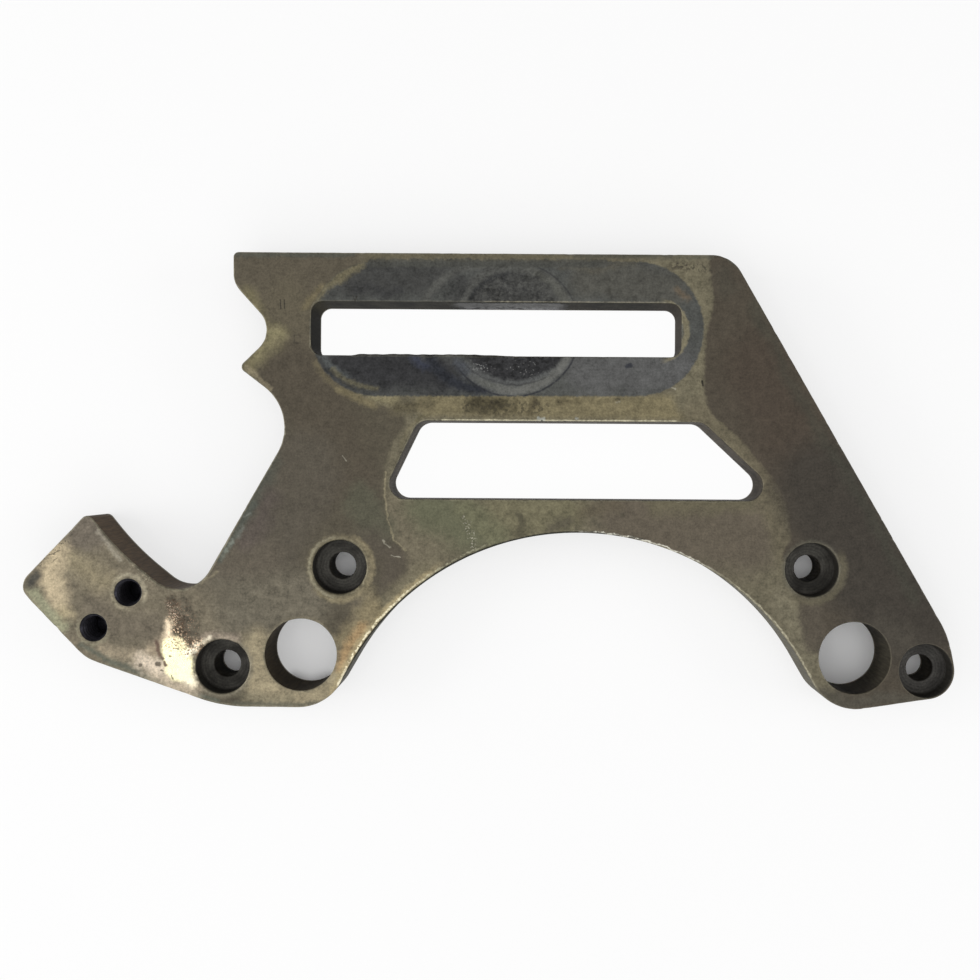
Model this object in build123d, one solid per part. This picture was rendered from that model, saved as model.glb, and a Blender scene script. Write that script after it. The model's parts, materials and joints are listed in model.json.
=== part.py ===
from build123d import *
import os
from dataclasses import dataclass
from math import asin, atan2, degrees, radians, tan

# Idler bracket: one flat machined plate. Millimetres and degrees.
# While it is drawn, X = 0 is the axis of the arch, Y = 0 is the base line of the feet and
# Z = 0 is the back face. The counterbored front face looks along +Z.

# Plate
plate_thickness = 15.875
plate_height = 160.8
edge_break = 0.35

# Arch between the two feet, with straight legs that leave it tangentially
arch_radius = 91.5
arch_centre_drop = 29.2
arch_leg_angle = 60.0

# Large plain hole in each foot
large_hole_diameter = 25.4
large_hole_height = 18.65
arch_leg_wall = 4.5
foot_wall = 5.5

# Counterbored bolt holes, two around each large hole
bolt_hole_diameter = 9.525
counterbore_diameter = 19.05
counterbore_depth = 5.56
outer_bolt_drop = 4.4
left_outer_bolt_pitch = 27.7
right_outer_bolt_pitch = 25.2
upper_bolt_rise = 31.05
left_upper_bolt_inset = 13.5
right_upper_bolt_inset = 15.3

# Right end of the plate, wrapped closely round its outer bolt
corner_lip = 0.5
right_side_lean = 9.0
right_side_margin = 3.0
right_side_blend = 36.0
top_right_radius = 12.0

# Long slot under the top edge, in which the idler's stud slides
slot_length = 131.0
slot_height = 19.05
slot_top_land = 17.2
slot_right_reach = 36.0
slot_corner_radius = 4.0

# Lightening window between the slot and the arch
window_height = 27.75
window_crown_web = 11.6
window_left_reach = 70.2
window_right_reach = 73.6
window_left_slope = 64.4
window_right_slope = 43.0
window_corner_radius = 5.5

# Left side: a short upright edge, a notch level with the slot, a spike and a second notch
left_land = 27.5
top_left_radius = 1.8
left_shoulder_radius = 9.0
upper_notch_land = 12.2
upper_notch_drop = 1.1
upper_notch_flank = 47.6
upper_notch_radius = 9.0
spike_reach = 25.5
spike_drop = 14.0
spike_under_angle = 37.1
spike_tip_radius = 2.0
lower_notch_radius = 18.0
left_leg_width = 60.1
left_leg_angle = 60.3

# Arm that leaves the left foot and carries two tapped holes
arm_bolt_reach = 39.5
arm_bolt_rise = 19.75
arm_bolt_pitch = 17.4
arm_bolt_angle = 46.0
arm_end_margin = 29.8
arm_end_angle = 46.8
arm_outer_margin = 9.5
arm_outer_angle = 45.9
arm_inner_margin = 9.2
arm_inner_angle = 38.7
arm_tip_margin = 6.6
arm_tip_angle = 50.8
arm_hollow_radius = 100.0
arm_tip_radius = 2.5
arm_heel_radius = 5.5
arm_bend_radius = 15.0
arm_base_margin = 13.5
arm_base_angle = 19.4
arm_base_radius = 52.6
crotch_radius = 12.7

# Tapped holes, drilled to the size that the thread leaves and opened at the mouth
tap_drill_diameter = 7.94
tap_drill_depth = 11.5
drill_point_angle = 118.0
thread_mouth_diameter = 9.8


@dataclass(frozen=True)
class Side:
    """Straight side of the outline, run anticlockwise, so that the metal lies on its left."""

    through: Vector
    angle: float

    def corner(self, following):
        """The point where this side meets the one that follows it."""
        along = Vector(1, 0).rotate(Axis.Z, self.angle)
        across = Vector(0, 1).rotate(Axis.Z, following.angle)
        reach = (following.through - self.through).dot(across) / along.dot(across)
        return self.through + along * reach


def clear_of(centre, margin, angle):
    """The side at this angle that has the centre on its metal side, the margin away."""
    return Side(centre + Vector(0, -margin).rotate(Axis.Z, angle), angle)


# Places that several features share
arch_centre = Vector(0, -arch_centre_drop)
left_arch_leg = clear_of(arch_centre, -arch_radius, arch_leg_angle)
right_arch_leg = clear_of(arch_centre, -arch_radius, -arch_leg_angle)

large_hole_margin = large_hole_diameter / 2 + arch_leg_wall
large_hole_level = Side(Vector(0, large_hole_height), 0)
left_large_hole = clear_of(left_arch_leg.through, -large_hole_margin, arch_leg_angle).corner(large_hole_level)
right_large_hole = clear_of(right_arch_leg.through, -large_hole_margin, -arch_leg_angle).corner(large_hole_level)
foot_radius = large_hole_diameter / 2 + foot_wall

left_outer_bolt = left_large_hole + Vector(-left_outer_bolt_pitch, -outer_bolt_drop)
right_outer_bolt = right_large_hole + Vector(right_outer_bolt_pitch, -outer_bolt_drop)
left_upper_bolt = left_large_hole + Vector(left_upper_bolt_inset, upper_bolt_rise)
right_upper_bolt = right_large_hole + Vector(-right_upper_bolt_inset, upper_bolt_rise)

slot_left = slot_right_reach - slot_length
slot_level = plate_height - slot_top_land - slot_height / 2

arm_bolt_centre = left_outer_bolt + Vector(-arm_bolt_reach, arm_bolt_rise)
arm_bolt_step = Vector(arm_bolt_pitch / 2, 0).rotate(Axis.Z, arm_bolt_angle)
inner_arm_bolt = arm_bolt_centre + arm_bolt_step
outer_arm_bolt = arm_bolt_centre - arm_bolt_step


def fitted_radii(corners, radii):
    """The corners' radii, each kept small enough to share the sides on both sides of it."""
    count = len(corners)
    sides = [corners[i] - corners[i - 1] for i in range(count)]
    turns = [sides[i].get_angle(sides[(i + 1) % count]) for i in range(count)]
    reaches = [radius * tan(radians(turn / 2)) for radius, turn in zip(radii, turns)]
    shares = [sides[i].length / (reaches[i - 1] + reaches[i]) for i in range(count)]
    return [radii[i] * min(1, shares[i], shares[(i + 1) % count]) for i in range(count)]


def make_outline():
    """Outer shape of the plate: each side with the radius of the corner that ends it."""
    corner_radius = counterbore_diameter / 2 + corner_lip
    foot_to_corner = right_outer_bolt - right_large_hole
    foot_taper = asin((foot_radius - corner_radius) / foot_to_corner.length)
    foot_rise = degrees(atan2(foot_to_corner.Y, foot_to_corner.X) + foot_taper)
    upper_notch_root = Vector(slot_left - upper_notch_land, slot_level - upper_notch_drop)
    spike_tip = Vector(slot_left - spike_reach, slot_level - spike_drop)
    notch_to_spike = spike_tip - upper_notch_root
    spike_angle = degrees(atan2(notch_to_spike.Y, notch_to_spike.X))

    sides = [
        (Side(Vector(0, 0), 0), large_hole_margin),
        (left_arch_leg, arch_radius),
        (right_arch_leg, large_hole_margin),
        (clear_of(right_large_hole, foot_radius, foot_rise), corner_radius),
        (clear_of(right_outer_bolt, corner_radius, 90 + right_side_lean), right_side_blend),
        (clear_of(right_outer_bolt, corner_radius + right_side_margin, 180 - arch_leg_angle), top_right_radius),
        (Side(Vector(0, plate_height), 180), top_left_radius),
        (Side(Vector(slot_left - left_land, 0), 270), left_shoulder_radius),
        (Side(upper_notch_root, -upper_notch_flank), upper_notch_radius),
        (Side(upper_notch_root, spike_angle), spike_tip_radius),
        (Side(spike_tip, -spike_under_angle), lower_notch_radius),
        (clear_of(arch_centre, arch_radius + left_leg_width, 180 + left_leg_angle), crotch_radius),
        (clear_of(inner_arm_bolt, arm_inner_margin, 180 - arm_inner_angle), arm_hollow_radius),
        (clear_of(inner_arm_bolt, arm_tip_margin, 180 - arm_tip_angle), arm_tip_radius),
        (clear_of(arm_bolt_centre, arm_end_margin, 180 + arm_end_angle), arm_heel_radius),
        (clear_of(outer_arm_bolt, arm_outer_margin, -arm_outer_angle), arm_bend_radius),
        (clear_of(left_outer_bolt, arm_base_margin, -arm_base_angle), arm_base_radius),
    ]
    following = sides[1:] + sides[:1]
    corners = [side.corner(next_side) for (side, _), (next_side, _) in zip(sides, following)]
    radii = [radius for _, radius in sides]
    return make_face(FilletPolyline(*corners, radius=fitted_radii(corners, radii), close=True))


def make_slot():
    """Long slot with rounded corners."""
    place = Pos(slot_right_reach - slot_length / 2, slot_level)
    return place * RectangleRounded(slot_length, slot_height, slot_corner_radius)


def make_window():
    """Four-sided window with one steep and one shallow end."""
    bottom = arch_radius - arch_centre_drop + window_crown_web
    left_run = window_height / tan(radians(window_left_slope))
    right_run = window_height / tan(radians(window_right_slope))
    corners = [
        (-window_left_reach, bottom),
        (window_right_reach, bottom),
        (window_right_reach - right_run, bottom + window_height),
        (left_run - window_left_reach, bottom + window_height),
    ]
    return make_face(FilletPolyline(*corners, radius=window_corner_radius, close=True))


def drill(centre, diameter, depth=plate_thickness):
    """Plain round cut that goes down from the front face."""
    return Pos(centre.X, centre.Y, plate_thickness - depth / 2) * Cylinder(diameter / 2, depth)


def countersink(centre, mouth_diameter, bore_diameter):
    """Cone at 45 degrees that opens a bore to a larger mouth on the front face."""
    depth = (mouth_diameter - bore_diameter) / 2
    cone = Cone(bore_diameter / 2, mouth_diameter / 2, depth)
    return Pos(centre.X, centre.Y, plate_thickness - depth / 2) * cone


def bolt_seat(centre, mouth_break):
    """Bolt hole with its counterbore, whose rim is broken where there is metal for it."""
    cut = drill(centre, bolt_hole_diameter) + drill(centre, counterbore_diameter, counterbore_depth)
    if mouth_break > 0:
        cut += countersink(centre, counterbore_diameter + 2 * mouth_break, counterbore_diameter)
    return cut


def tapped_hole(centre):
    """Blind drilled hole with a drill point, opened at its mouth for the thread."""
    point_depth = tap_drill_diameter / 2 / tan(radians(drill_point_angle / 2))
    point_height = plate_thickness - tap_drill_depth - point_depth / 2
    cut = drill(centre, tap_drill_diameter, tap_drill_depth)
    cut += Pos(centre.X, centre.Y, point_height) * Cone(0, tap_drill_diameter / 2, point_depth)
    return cut + countersink(centre, thread_mouth_diameter, tap_drill_diameter)


def make_plate():
    """The whole bracket, standing where it is drawn."""
    profile = make_outline() - make_slot() - make_window()
    for hole in (left_large_hole, right_large_hole):
        profile -= Pos(hole.X, hole.Y) * Circle(large_hole_diameter / 2)
    plate = extrude(profile, amount=plate_thickness)
    faces = plate.faces().sort_by(Axis.Z)
    plate = chamfer(faces[0].edges() + faces[-1].edges(), length=edge_break)
    for bolt in (left_outer_bolt, left_upper_bolt, right_upper_bolt):
        plate -= bolt_seat(bolt, edge_break)
    plate -= bolt_seat(right_outer_bolt, 0)
    for bolt in (inner_arm_bolt, outer_arm_bolt):
        plate -= tapped_hole(bolt)
    return plate


def rest_on_base(shape):
    """Moves the shape so that its box stands centred over the origin."""
    box = shape.bounding_box()
    centre = box.center()
    return Pos(-centre.X, -centre.Y, -box.min.Z) * shape


bracket_plate = rest_on_base(make_plate())

os.makedirs("parts", exist_ok=True)
export_step(bracket_plate, "parts/bracket_plate.step")
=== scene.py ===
"""Looks of the idler bracket: a worn plate of oxidised aluminium alloy that lies flat on a pale table.

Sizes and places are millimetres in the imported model's own frame, in which z = 0 is the back face and the
counterbored front face looks up. They become metres when a mesh or a lamp is made. Angles are degrees.
"""

import json
import logging
import math
from collections.abc import Sequence
from dataclasses import dataclass, field
from enum import Enum
from functools import cached_property

import bpy
import numpy as np
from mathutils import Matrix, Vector, noise
from mathutils.geometry import delaunay_2d_cdt


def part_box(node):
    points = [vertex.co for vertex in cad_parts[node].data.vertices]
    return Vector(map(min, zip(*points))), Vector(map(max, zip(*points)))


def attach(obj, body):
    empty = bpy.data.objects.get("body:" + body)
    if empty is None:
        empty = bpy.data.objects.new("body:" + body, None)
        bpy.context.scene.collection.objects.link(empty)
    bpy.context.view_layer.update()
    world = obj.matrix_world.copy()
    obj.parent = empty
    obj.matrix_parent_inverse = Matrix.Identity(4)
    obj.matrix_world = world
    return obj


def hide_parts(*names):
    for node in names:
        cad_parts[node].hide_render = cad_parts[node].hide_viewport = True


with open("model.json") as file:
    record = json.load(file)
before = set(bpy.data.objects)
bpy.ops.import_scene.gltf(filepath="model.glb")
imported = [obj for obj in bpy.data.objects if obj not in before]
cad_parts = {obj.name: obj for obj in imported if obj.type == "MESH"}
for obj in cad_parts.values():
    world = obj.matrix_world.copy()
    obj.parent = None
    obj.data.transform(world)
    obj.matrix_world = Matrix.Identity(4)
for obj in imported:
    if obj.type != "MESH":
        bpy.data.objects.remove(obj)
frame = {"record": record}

METRES = 0.001
NODE = "bracket_plate"
report = logging.getLogger("bracket")

Point = tuple[float, float]
Size = tuple[float, float, float]
Array = np.ndarray
Amount = Array | float
Rings = tuple[Array, Array]
Path = tuple[Point, ...]
Colour = tuple[int, int, int]


class Zone(Enum):
    """Part of the surface with a finish of its own, in the order of the mesh's material slots.

    The front face comes last, because it has one material for each of its plots.
    """

    BACK = 0
    WALL = 1
    SLOT_WALL = 2
    SEAT = 3
    BORE = 4
    THREAD = 5
    FACE = 6


class Ragged(Enum):
    """How far the edge of a stain may wander, in millimetres."""

    CLEAN = 0.0
    FINE = 1.0
    COARSE = 4.5


@dataclass(frozen=True)
class Plot:
    """Rectangle of the plate, from its lowest to its highest x and y."""

    low: Point
    high: Point

    def meets(self, other: "Plot") -> bool:
        """Whether two rectangles overlap."""
        return all(a < d and c < b for a, b, c, d in zip(self.low, self.high, other.low, other.high))

    def holds(self, spots: Array) -> Array:
        """Tells which spots lie in the rectangle."""
        return ((spots >= self.low) & (spots < self.high)).all(axis=1)


def plot_round(path: Sequence[Point], reach: float) -> Plot:
    """The rectangle round a path, a margin away from it."""
    low, high = np.min(path, axis=0) - reach, np.max(path, axis=0) + reach
    return Plot(tuple(low.tolist()), tuple(high.tolist()))


# Outlines


@dataclass(frozen=True)
class Side:
    """Straight side of an outline, run so that the metal lies on its left."""

    through: Vector
    angle: float

    @property
    def along(self) -> Vector:
        """Unit vector in the direction of the side."""
        return Vector((math.cos(math.radians(self.angle)), math.sin(math.radians(self.angle))))

    def corner(self, following: "Side") -> Vector:
        """Finds where this side meets the one that follows it.

        Args:
            following: the next side of the outline.

        Returns:
            The corner, before it is rounded.
        """
        across = following.along.orthogonal()
        reach = (following.through - self.through).dot(across) / self.along.dot(across)
        return self.through + self.along * reach


def clear_of(centre: Vector, margin: float, angle: float) -> Side:
    """Places a side at an angle and a margin from a centre, which lies on its metal side."""
    turn = math.radians(angle)
    return Side(centre + Vector((math.sin(turn), -math.cos(turn))) * margin, angle)


def fitted_radii(corners: Sequence[Vector], radii: Sequence[float]) -> list[float]:
    """Keeps each corner's radius small enough to share the sides beside it.

    Args:
        corners: the corners of a closed outline.
        radii: the wanted radius of each.

    Returns:
        The radii that fit.
    """
    count = len(corners)
    sides = [corners[i] - corners[i - 1] for i in range(count)]
    turns = [abs(sides[i].angle_signed(sides[(i + 1) % count])) for i in range(count)]
    reaches = [radius * math.tan(turn / 2) for radius, turn in zip(radii, turns)]
    shares = [sides[i].length / (reaches[i - 1] + reaches[i]) for i in range(count)]
    return [radii[i] * min(1.0, shares[i], shares[(i + 1) % count]) for i in range(count)]


@dataclass
class Rim:
    """Closed line where a wall meets the face, run with the metal on its left.

    Attributes:
        points: its samples, one row each.
        outward: the unit vector at each sample that points away from the metal.
        room: the distance across the metal from each sample to the nearest other rim.
    """

    points: Array
    outward: Array
    room: Array = field(default_factory=lambda: np.zeros(0))

    def moved(self, distance: Amount) -> Array:
        """The rim's samples, moved away from the metal by a distance."""
        return self.points + self.outward * np.reshape(distance, (-1, 1))

    @property
    def line(self) -> Array:
        """The samples with more of them between, for distances to the line itself."""
        steps = np.roll(self.points, -1, axis=0) - self.points
        return np.concatenate([self.points + steps * share for share in np.arange(0.0, 1.0, 0.2)])

    @property
    def along(self) -> Array:
        """Length along the rim at each sample, from the first."""
        gaps = np.linalg.norm(np.diff(self.points, axis=0), axis=1)
        return np.concatenate(([0.0], np.cumsum(gaps)))


def rounded_rim(corners: Sequence[Vector], radii: Sequence[float], spacing: float) -> Rim:
    """Samples a closed outline with a tangent arc at each corner.

    Args:
        corners: its corners, run with the metal on the left.
        radii: the radius of each corner.
        spacing: about how far apart the samples lie.

    Returns:
        The rim.
    """
    count = len(corners)
    legs = [(corners[i] - corners[i - 1]).normalized() for i in range(count)]
    turns = [-legs[i].angle_signed(legs[(i + 1) % count]) for i in range(count)]
    reaches = [radius * math.tan(abs(turn) / 2) for radius, turn in zip(radii, turns)]
    points: list[Vector] = []
    outward: list[Vector] = []
    finest_turn = math.radians(8)
    for i, corner in enumerate(corners):
        arrive, turn, radius = legs[i], turns[i], radii[i]
        begin = corner - arrive * reaches[i]
        bend = math.copysign(radius, turn)
        centre = begin + Vector((-arrive.y, arrive.x)) * bend
        steps = max(2, math.ceil(radius * abs(turn) / spacing), math.ceil(abs(turn) / finest_turn))
        for step in range(steps + 1):
            heading = math.atan2(arrive.y, arrive.x) + turn * step / steps
            left = Vector((-math.sin(heading), math.cos(heading)))
            points.append(centre - left * bend)
            outward.append(-left)
        end, leave = points[-1], legs[(i + 1) % count]
        straight = corners[(i + 1) % count] - leave * reaches[(i + 1) % count] - end
        pieces = max(1, round(straight.length / spacing))
        for piece in range(1, pieces):
            points.append(end + straight * piece / pieces)
            outward.append(outward[-1])
    return Rim(np.array(points), np.array(outward))


def round_rim(centre: Vector, radius: float, spacing: float) -> Rim:
    """Samples the rim of a round hole.

    Args:
        centre: the hole's centre.
        radius: its radius.
        spacing: about how far apart the samples lie.

    Returns:
        The rim, run clockwise.
    """
    count = max(48, math.ceil(2 * math.pi * radius / spacing))
    angles = -np.arange(count) * 2 * math.pi / count
    spokes = np.stack((np.cos(angles), np.sin(angles)), axis=1)
    return Rim(np.array(centre) + spokes * radius, -spokes)


def inside(spots: Array, loops: Sequence[Array]) -> Array:
    """Tells which spots lie in the metal.

    Args:
        spots: x and y, one row each.
        loops: the closed lines that bound the metal.

    Returns:
        True for each spot with an odd number of lines to its right.
    """
    starts = np.concatenate(loops)
    ends = np.concatenate([np.roll(loop, -1, axis=0) for loop in loops])
    odd = np.zeros(len(spots), dtype=bool)
    for (x0, y0), (x1, y1) in zip(starts.tolist(), ends.tolist()):
        if y0 != y1:
            level = (y0 > spots[:, 1]) != (y1 > spots[:, 1])
            odd ^= level & (spots[:, 0] < x0 + (spots[:, 1] - y0) * (x1 - x0) / (y1 - y0))
    return odd


def nearest(spots: Array, others: Array) -> Array:
    """Measures how far each spot is from the nearest of the others.

    Args:
        spots: x and y, one row each.
        others: the places that are measured to.

    Returns:
        The distance of each spot.
    """
    gaps = np.empty(len(spots))
    at_once = 256
    for start in range(0, len(spots), at_once):
        part = spots[start:start + at_once, None] - others[None]
        gaps[start:start + at_once] = np.sqrt((part ** 2).sum(axis=2).min(axis=1))
    return gaps


def ripple(points: Array, grain: float, seed: float) -> Array:
    """Smooth noise from about -1 to 1 at each point, with bumps as large as the grain."""
    return np.array([noise.noise(Vector((x / grain, y / grain, seed))) for x, y in points.tolist()])


def between(x: Array, span: Point, rise: float, fall: float) -> Array:
    """A share that rises from 0 to 1 where a span begins and falls back where it ends."""
    return np.clip((x - span[0]) / rise, 0, 1) * np.clip((span[1] - x) / fall, 0, 1)


# Mesh


class Skin:
    """Vertices and faces of one closed surface, gathered ring by ring."""

    TRAITS = ("edge", "gall", "radius")

    def __init__(self) -> None:
        """Starts an empty surface."""
        self.places: list[Array] = []
        self.traits: dict[str, list[Array]] = {name: [] for name in self.TRAITS}
        self.faces: list[tuple[int, ...]] = []
        self.zones: list[int] = []
        self.count = 0

    def ring(self, flat: Array, height: Amount, **traits: Amount) -> Array:
        """Adds one row of vertices.

        Args:
            flat: their x and y.
            height: their z, one value or one each.
            traits: the values that the finishes read, 0 where one isn't given.

        Returns:
            The vertices' indices.
        """
        size = len(flat)
        self.places.append(np.column_stack((flat, np.broadcast_to(height, size))))
        for name, rows in self.traits.items():
            rows.append(np.broadcast_to(np.asarray(traits.get(name, 0.0), dtype=float), size))
        self.count += size
        return np.arange(self.count - size, self.count)

    def band(self, first: Array, second: Array, zone: Zone) -> Array:
        """Joins two rings with a band of quads that faces away from the metal.

        Args:
            first: the ring nearer the middle of the front face.
            second: the next ring over the edge.
            zone: the finish of the band.

        Returns:
            The second ring, to go on from.
        """
        quads = np.column_stack((first, second, np.roll(second, -1), np.roll(first, -1)))
        self.faces.extend(map(tuple, quads.tolist()))
        self.zones.extend([zone.value] * len(quads))
        return second

    def point_cap(self, ring: Array, tip: Vector, height: float, zone: Zone) -> None:
        """Closes a ring with a cone.

        Args:
            ring: the ring round the cone's foot.
            tip: the x and y of its point.
            height: the z of its point.
            zone: its finish.
        """
        apex = int(self.ring(np.array([tip]), height)[0])
        for here, after in zip(ring.tolist(), np.roll(ring, -1).tolist()):
            self.faces.append((here, apex, after))
            self.zones.append(zone.value)

    def fill(self, rings: Sequence[Array], inner: Array, upward: bool, zone: Zone) -> float:
        """Fills the flat face between closed rings with triangles.

        Args:
            rings: the rings that bound the face.
            inner: the indices of vertices inside it.
            upward: whether the face looks up.
            zone: its finish.

        Returns:
            The area that was filled.
        """
        places = np.concatenate(self.places)[:, :2]
        used = np.concatenate([*rings, inner])
        edges: list[tuple[int, int]] = []
        for ring in rings:
            here = np.arange(len(edges), len(edges) + len(ring))
            edges += list(zip(here.tolist(), np.roll(here, -1).tolist()))
        corners = [Vector(place) for place in places[used].tolist()]
        made, _, triangles, origin, _, _ = delaunay_2d_cdt(corners, edges, [], 1, 1e-6)
        source = used[np.array([found[0] for found in origin])]
        flat = np.array([tuple(corner) for corner in made])
        table = np.array(triangles)
        table = table[inside(flat[table].mean(axis=1), [places[ring] for ring in rings])]
        first, second = flat[table[:, 1]] - flat[table[:, 0]], flat[table[:, 2]] - flat[table[:, 0]]
        area = (first[:, 0] * second[:, 1] - first[:, 1] * second[:, 0]) / 2
        turned = (area > 0) != upward
        table[turned] = table[turned][:, ::-1]
        self.faces.extend(map(tuple, source[table].tolist()))
        self.zones.extend([zone.value] * len(table))
        return float(np.abs(area).sum())

    def build(self, name: str, materials: Sequence[bpy.types.Material]) -> bpy.types.Object:
        """Makes the Blender object.

        Args:
            name: the object's name.
            materials: one for each zone.

        Returns:
            The object, linked to the scene.
        """
        mesh = bpy.data.meshes.new(name)
        mesh.from_pydata((np.concatenate(self.places) * METRES).tolist(), [], self.faces)
        for material in materials:
            mesh.materials.append(material)
        mesh.polygons.foreach_set("material_index", self.zones)
        mesh.polygons.foreach_set("use_smooth", [True] * len(mesh.polygons))
        for trait, rows in self.traits.items():
            attribute = mesh.attributes.new(trait, "FLOAT", "POINT")
            attribute.data.foreach_set("value", np.concatenate(rows).astype(np.float32))
        mesh.update()
        piece = bpy.data.objects.new(name, mesh)
        bpy.context.scene.collection.objects.link(piece)
        return piece


def divide_face(mesh: bpy.types.Mesh, plots: Sequence[Plot]) -> None:
    """Gives each polygon of the front face the material of its plot.

    Args:
        mesh: the plate's mesh, whose last materials are those of the plots.
        plots: the plots.
    """
    count = len(mesh.polygons)
    centres, slots = np.empty(count * 3, dtype=np.float32), np.empty(count, dtype=np.int32)
    mesh.polygons.foreach_get("center", centres)
    mesh.polygons.foreach_get("material_index", slots)
    spots = centres.reshape(-1, 3)[:, :2] / METRES
    face = slots == Zone.FACE.value
    for number, plot in enumerate(plots):
        slots[face & plot.holds(spots)] = Zone.FACE.value + number
    mesh.polygons.foreach_set("material_index", slots)


# The plate


@dataclass(frozen=True)
class Dent:
    """Blow to the front face: an oval hollow."""

    place: Point
    length: float
    width: float
    angle: float
    depth: float
    steepness: float = 4.0

    def hollow(self, points: Array) -> Array:
        """Works out how far the blow lowers the face.

        Args:
            points: x and y, one row each.

        Returns:
            The depth at each point.
        """
        turn = math.radians(self.angle)
        offset = points - np.array(self.place)
        along = (offset[:, 0] * math.cos(turn) + offset[:, 1] * math.sin(turn)) / self.length
        across = (offset[:, 1] * math.cos(turn) - offset[:, 0] * math.sin(turn)) / self.width
        return self.depth * np.exp(-self.steepness * (along ** 2 + across ** 2))


@dataclass(frozen=True)
class Blunt:
    """Stretch of the outline that is worn rounder than the rest."""

    place: Point
    reach: float
    radius: float
    shoulder: float = 1.3

    def extra(self, points: Array) -> Array:
        """How much rounder the edge is at each point."""
        gap = np.hypot(*(points - np.array(self.place)).T) / self.reach
        return self.radius * np.clip(self.shoulder - gap, 0, 1)


@dataclass
class WornPlate:
    """The plate with its edges worn round, its nicks, its galled slot and its cut threads.

    The sizes are those of the CAD model. The holes' places are read from its mounts.

    Attributes:
        room_shares: how much of the room between two rims each of them may take, for its worn
            edge, for the first row of the face beside it, and for the border of the face.
        wall_rows: the depth of each row of a plain wall, and how far it is from a worn edge.
        slot_rows: the depth of each row of the slot's wall.
        thread_rows: how many rows a turn of the thread has.
        thread_first_row: the first row below the worn mouth.
        bolt_wear: how far each counterbore's rim is worn round.
    """

    thickness: float = 15.875
    height: float = 160.8
    edge_break: float = 0.35
    arch_radius: float = 91.5
    arch_centre_drop: float = 29.2
    arch_leg_angle: float = 60.0
    large_hole_radius: float = 12.7
    arch_leg_wall: float = 4.5
    foot_wall: float = 5.5
    bolt_radius: float = 4.7625
    counterbore_radius: float = 9.525
    counterbore_depth: float = 5.56
    corner_lip: float = 0.5
    right_side_lean: float = 9.0
    right_side_margin: float = 3.0
    right_side_blend: float = 36.0
    top_right_radius: float = 12.0
    slot_length: float = 131.0
    slot_height: float = 19.05
    slot_top_land: float = 17.2
    slot_right_reach: float = 36.0
    slot_corner_radius: float = 4.0
    window_height: float = 27.75
    window_crown_web: float = 11.6
    window_left_reach: float = 70.2
    window_right_reach: float = 73.6
    window_left_slope: float = 64.4
    window_right_slope: float = 43.0
    window_corner_radius: float = 5.5
    left_land: float = 27.5
    top_left_radius: float = 1.8
    left_shoulder_radius: float = 9.0
    upper_notch_land: float = 12.2
    upper_notch_drop: float = 1.1
    upper_notch_flank: float = 47.6
    upper_notch_radius: float = 9.0
    spike_reach: float = 25.5
    spike_drop: float = 14.0
    spike_under_angle: float = 37.1
    spike_tip_radius: float = 2.0
    lower_notch_radius: float = 18.0
    left_leg_width: float = 60.1
    left_leg_angle: float = 60.3
    arm_end_margin: float = 29.8
    arm_end_angle: float = 46.8
    arm_outer_margin: float = 9.5
    arm_outer_angle: float = 45.9
    arm_inner_margin: float = 9.2
    arm_inner_angle: float = 38.7
    arm_tip_margin: float = 6.6
    arm_tip_angle: float = 50.8
    arm_hollow_radius: float = 100.0
    arm_tip_radius: float = 2.5
    arm_heel_radius: float = 5.5
    arm_bend_radius: float = 15.0
    arm_base_margin: float = 13.5
    arm_base_angle: float = 19.4
    arm_base_radius: float = 52.6
    crotch_radius: float = 12.7
    thread_minor_radius: float = 3.97
    thread_major_radius: float = 4.76
    thread_pitch: float = 1.5875
    thread_mouth_radius: float = 4.9
    thread_depth: float = 9.6
    tap_drill_depth: float = 11.5
    drill_point_angle: float = 118.0

    rim_spacing: float = 0.8
    slot_spacing: float = 0.6
    hole_spacing: float = 0.7
    face_spacing: float = 4.0
    dent_spacing: float = 0.3
    room_shares: tuple[float, float, float] = (0.3, 0.38, 0.45)
    near_width: float = 0.6
    wall_rows: tuple[Point, ...] = (
        (1.0, 0.5), (2.2, 1.0), (5.0, 1.0), (8.0, 1.0), (11.5, 1.0), (14.6, 0.6),
    )
    slot_rows: tuple[float, ...] = (
        0.9, 1.5, 2.2, 3.0, 3.9, 4.8, 5.7, 6.6, 7.5, 8.4, 9.3, 10.2, 11.1, 12.0, 12.9, 13.8, 14.7,
    )
    thread_rows: int = 10
    thread_first_row: int = 4
    nick_spacing: float = 19.0
    nick_stray: float = 9.0
    nick_half_width: Point = (0.7, 1.6)
    nick_depth: Point = (0.08, 0.42)
    burr_reach: float = 0.6
    burr_height: float = 1.6
    burr_span: Point = (-49.0, 9.0)
    gall_span: Point = (-16.0, 26.5)
    gall_depth: float = 6.5
    dents: tuple[Dent, ...] = (
        Dent((44.8, 28.9), 1.5, 0.7, -8, 0.22),
        Dent((17.9, 22.9), 1.4, 0.8, -25, 0.35),
        Dent((30.2, 22.9), 1.1, 0.6, 10, 0.25),
        Dent((74.1, 35.8), 1.1, 0.4, -70, 0.30),
        Dent((-134.8, -33.3), 0.7, 0.5, 0, 0.18),
        Dent((-145.9, -33.9), 1.2, 0.5, -35, 0.22),
        Dent((-148.5, -37.3), 0.7, 0.5, 0, 0.18),
        Dent((-86.0, 66.2), 0.6, 0.5, 0, 0.12),
    )
    blunt: tuple[Blunt, ...] = (
        Blunt((-38.0, -56.0), 30.0, 0.15),
        Blunt((-128.0, -26.0), 24.0, 0.35),
        Blunt((-96.0, -30.0), 20.0, 0.3),
        Blunt((95.0, -52.0), 34.0, 0.35),
        Blunt((-100.0, -76.0), 30.0, 0.5),
    )
    bolt_wear: tuple[float, ...] = (0.75, 0.25, 0.75, 0.5)

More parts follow.
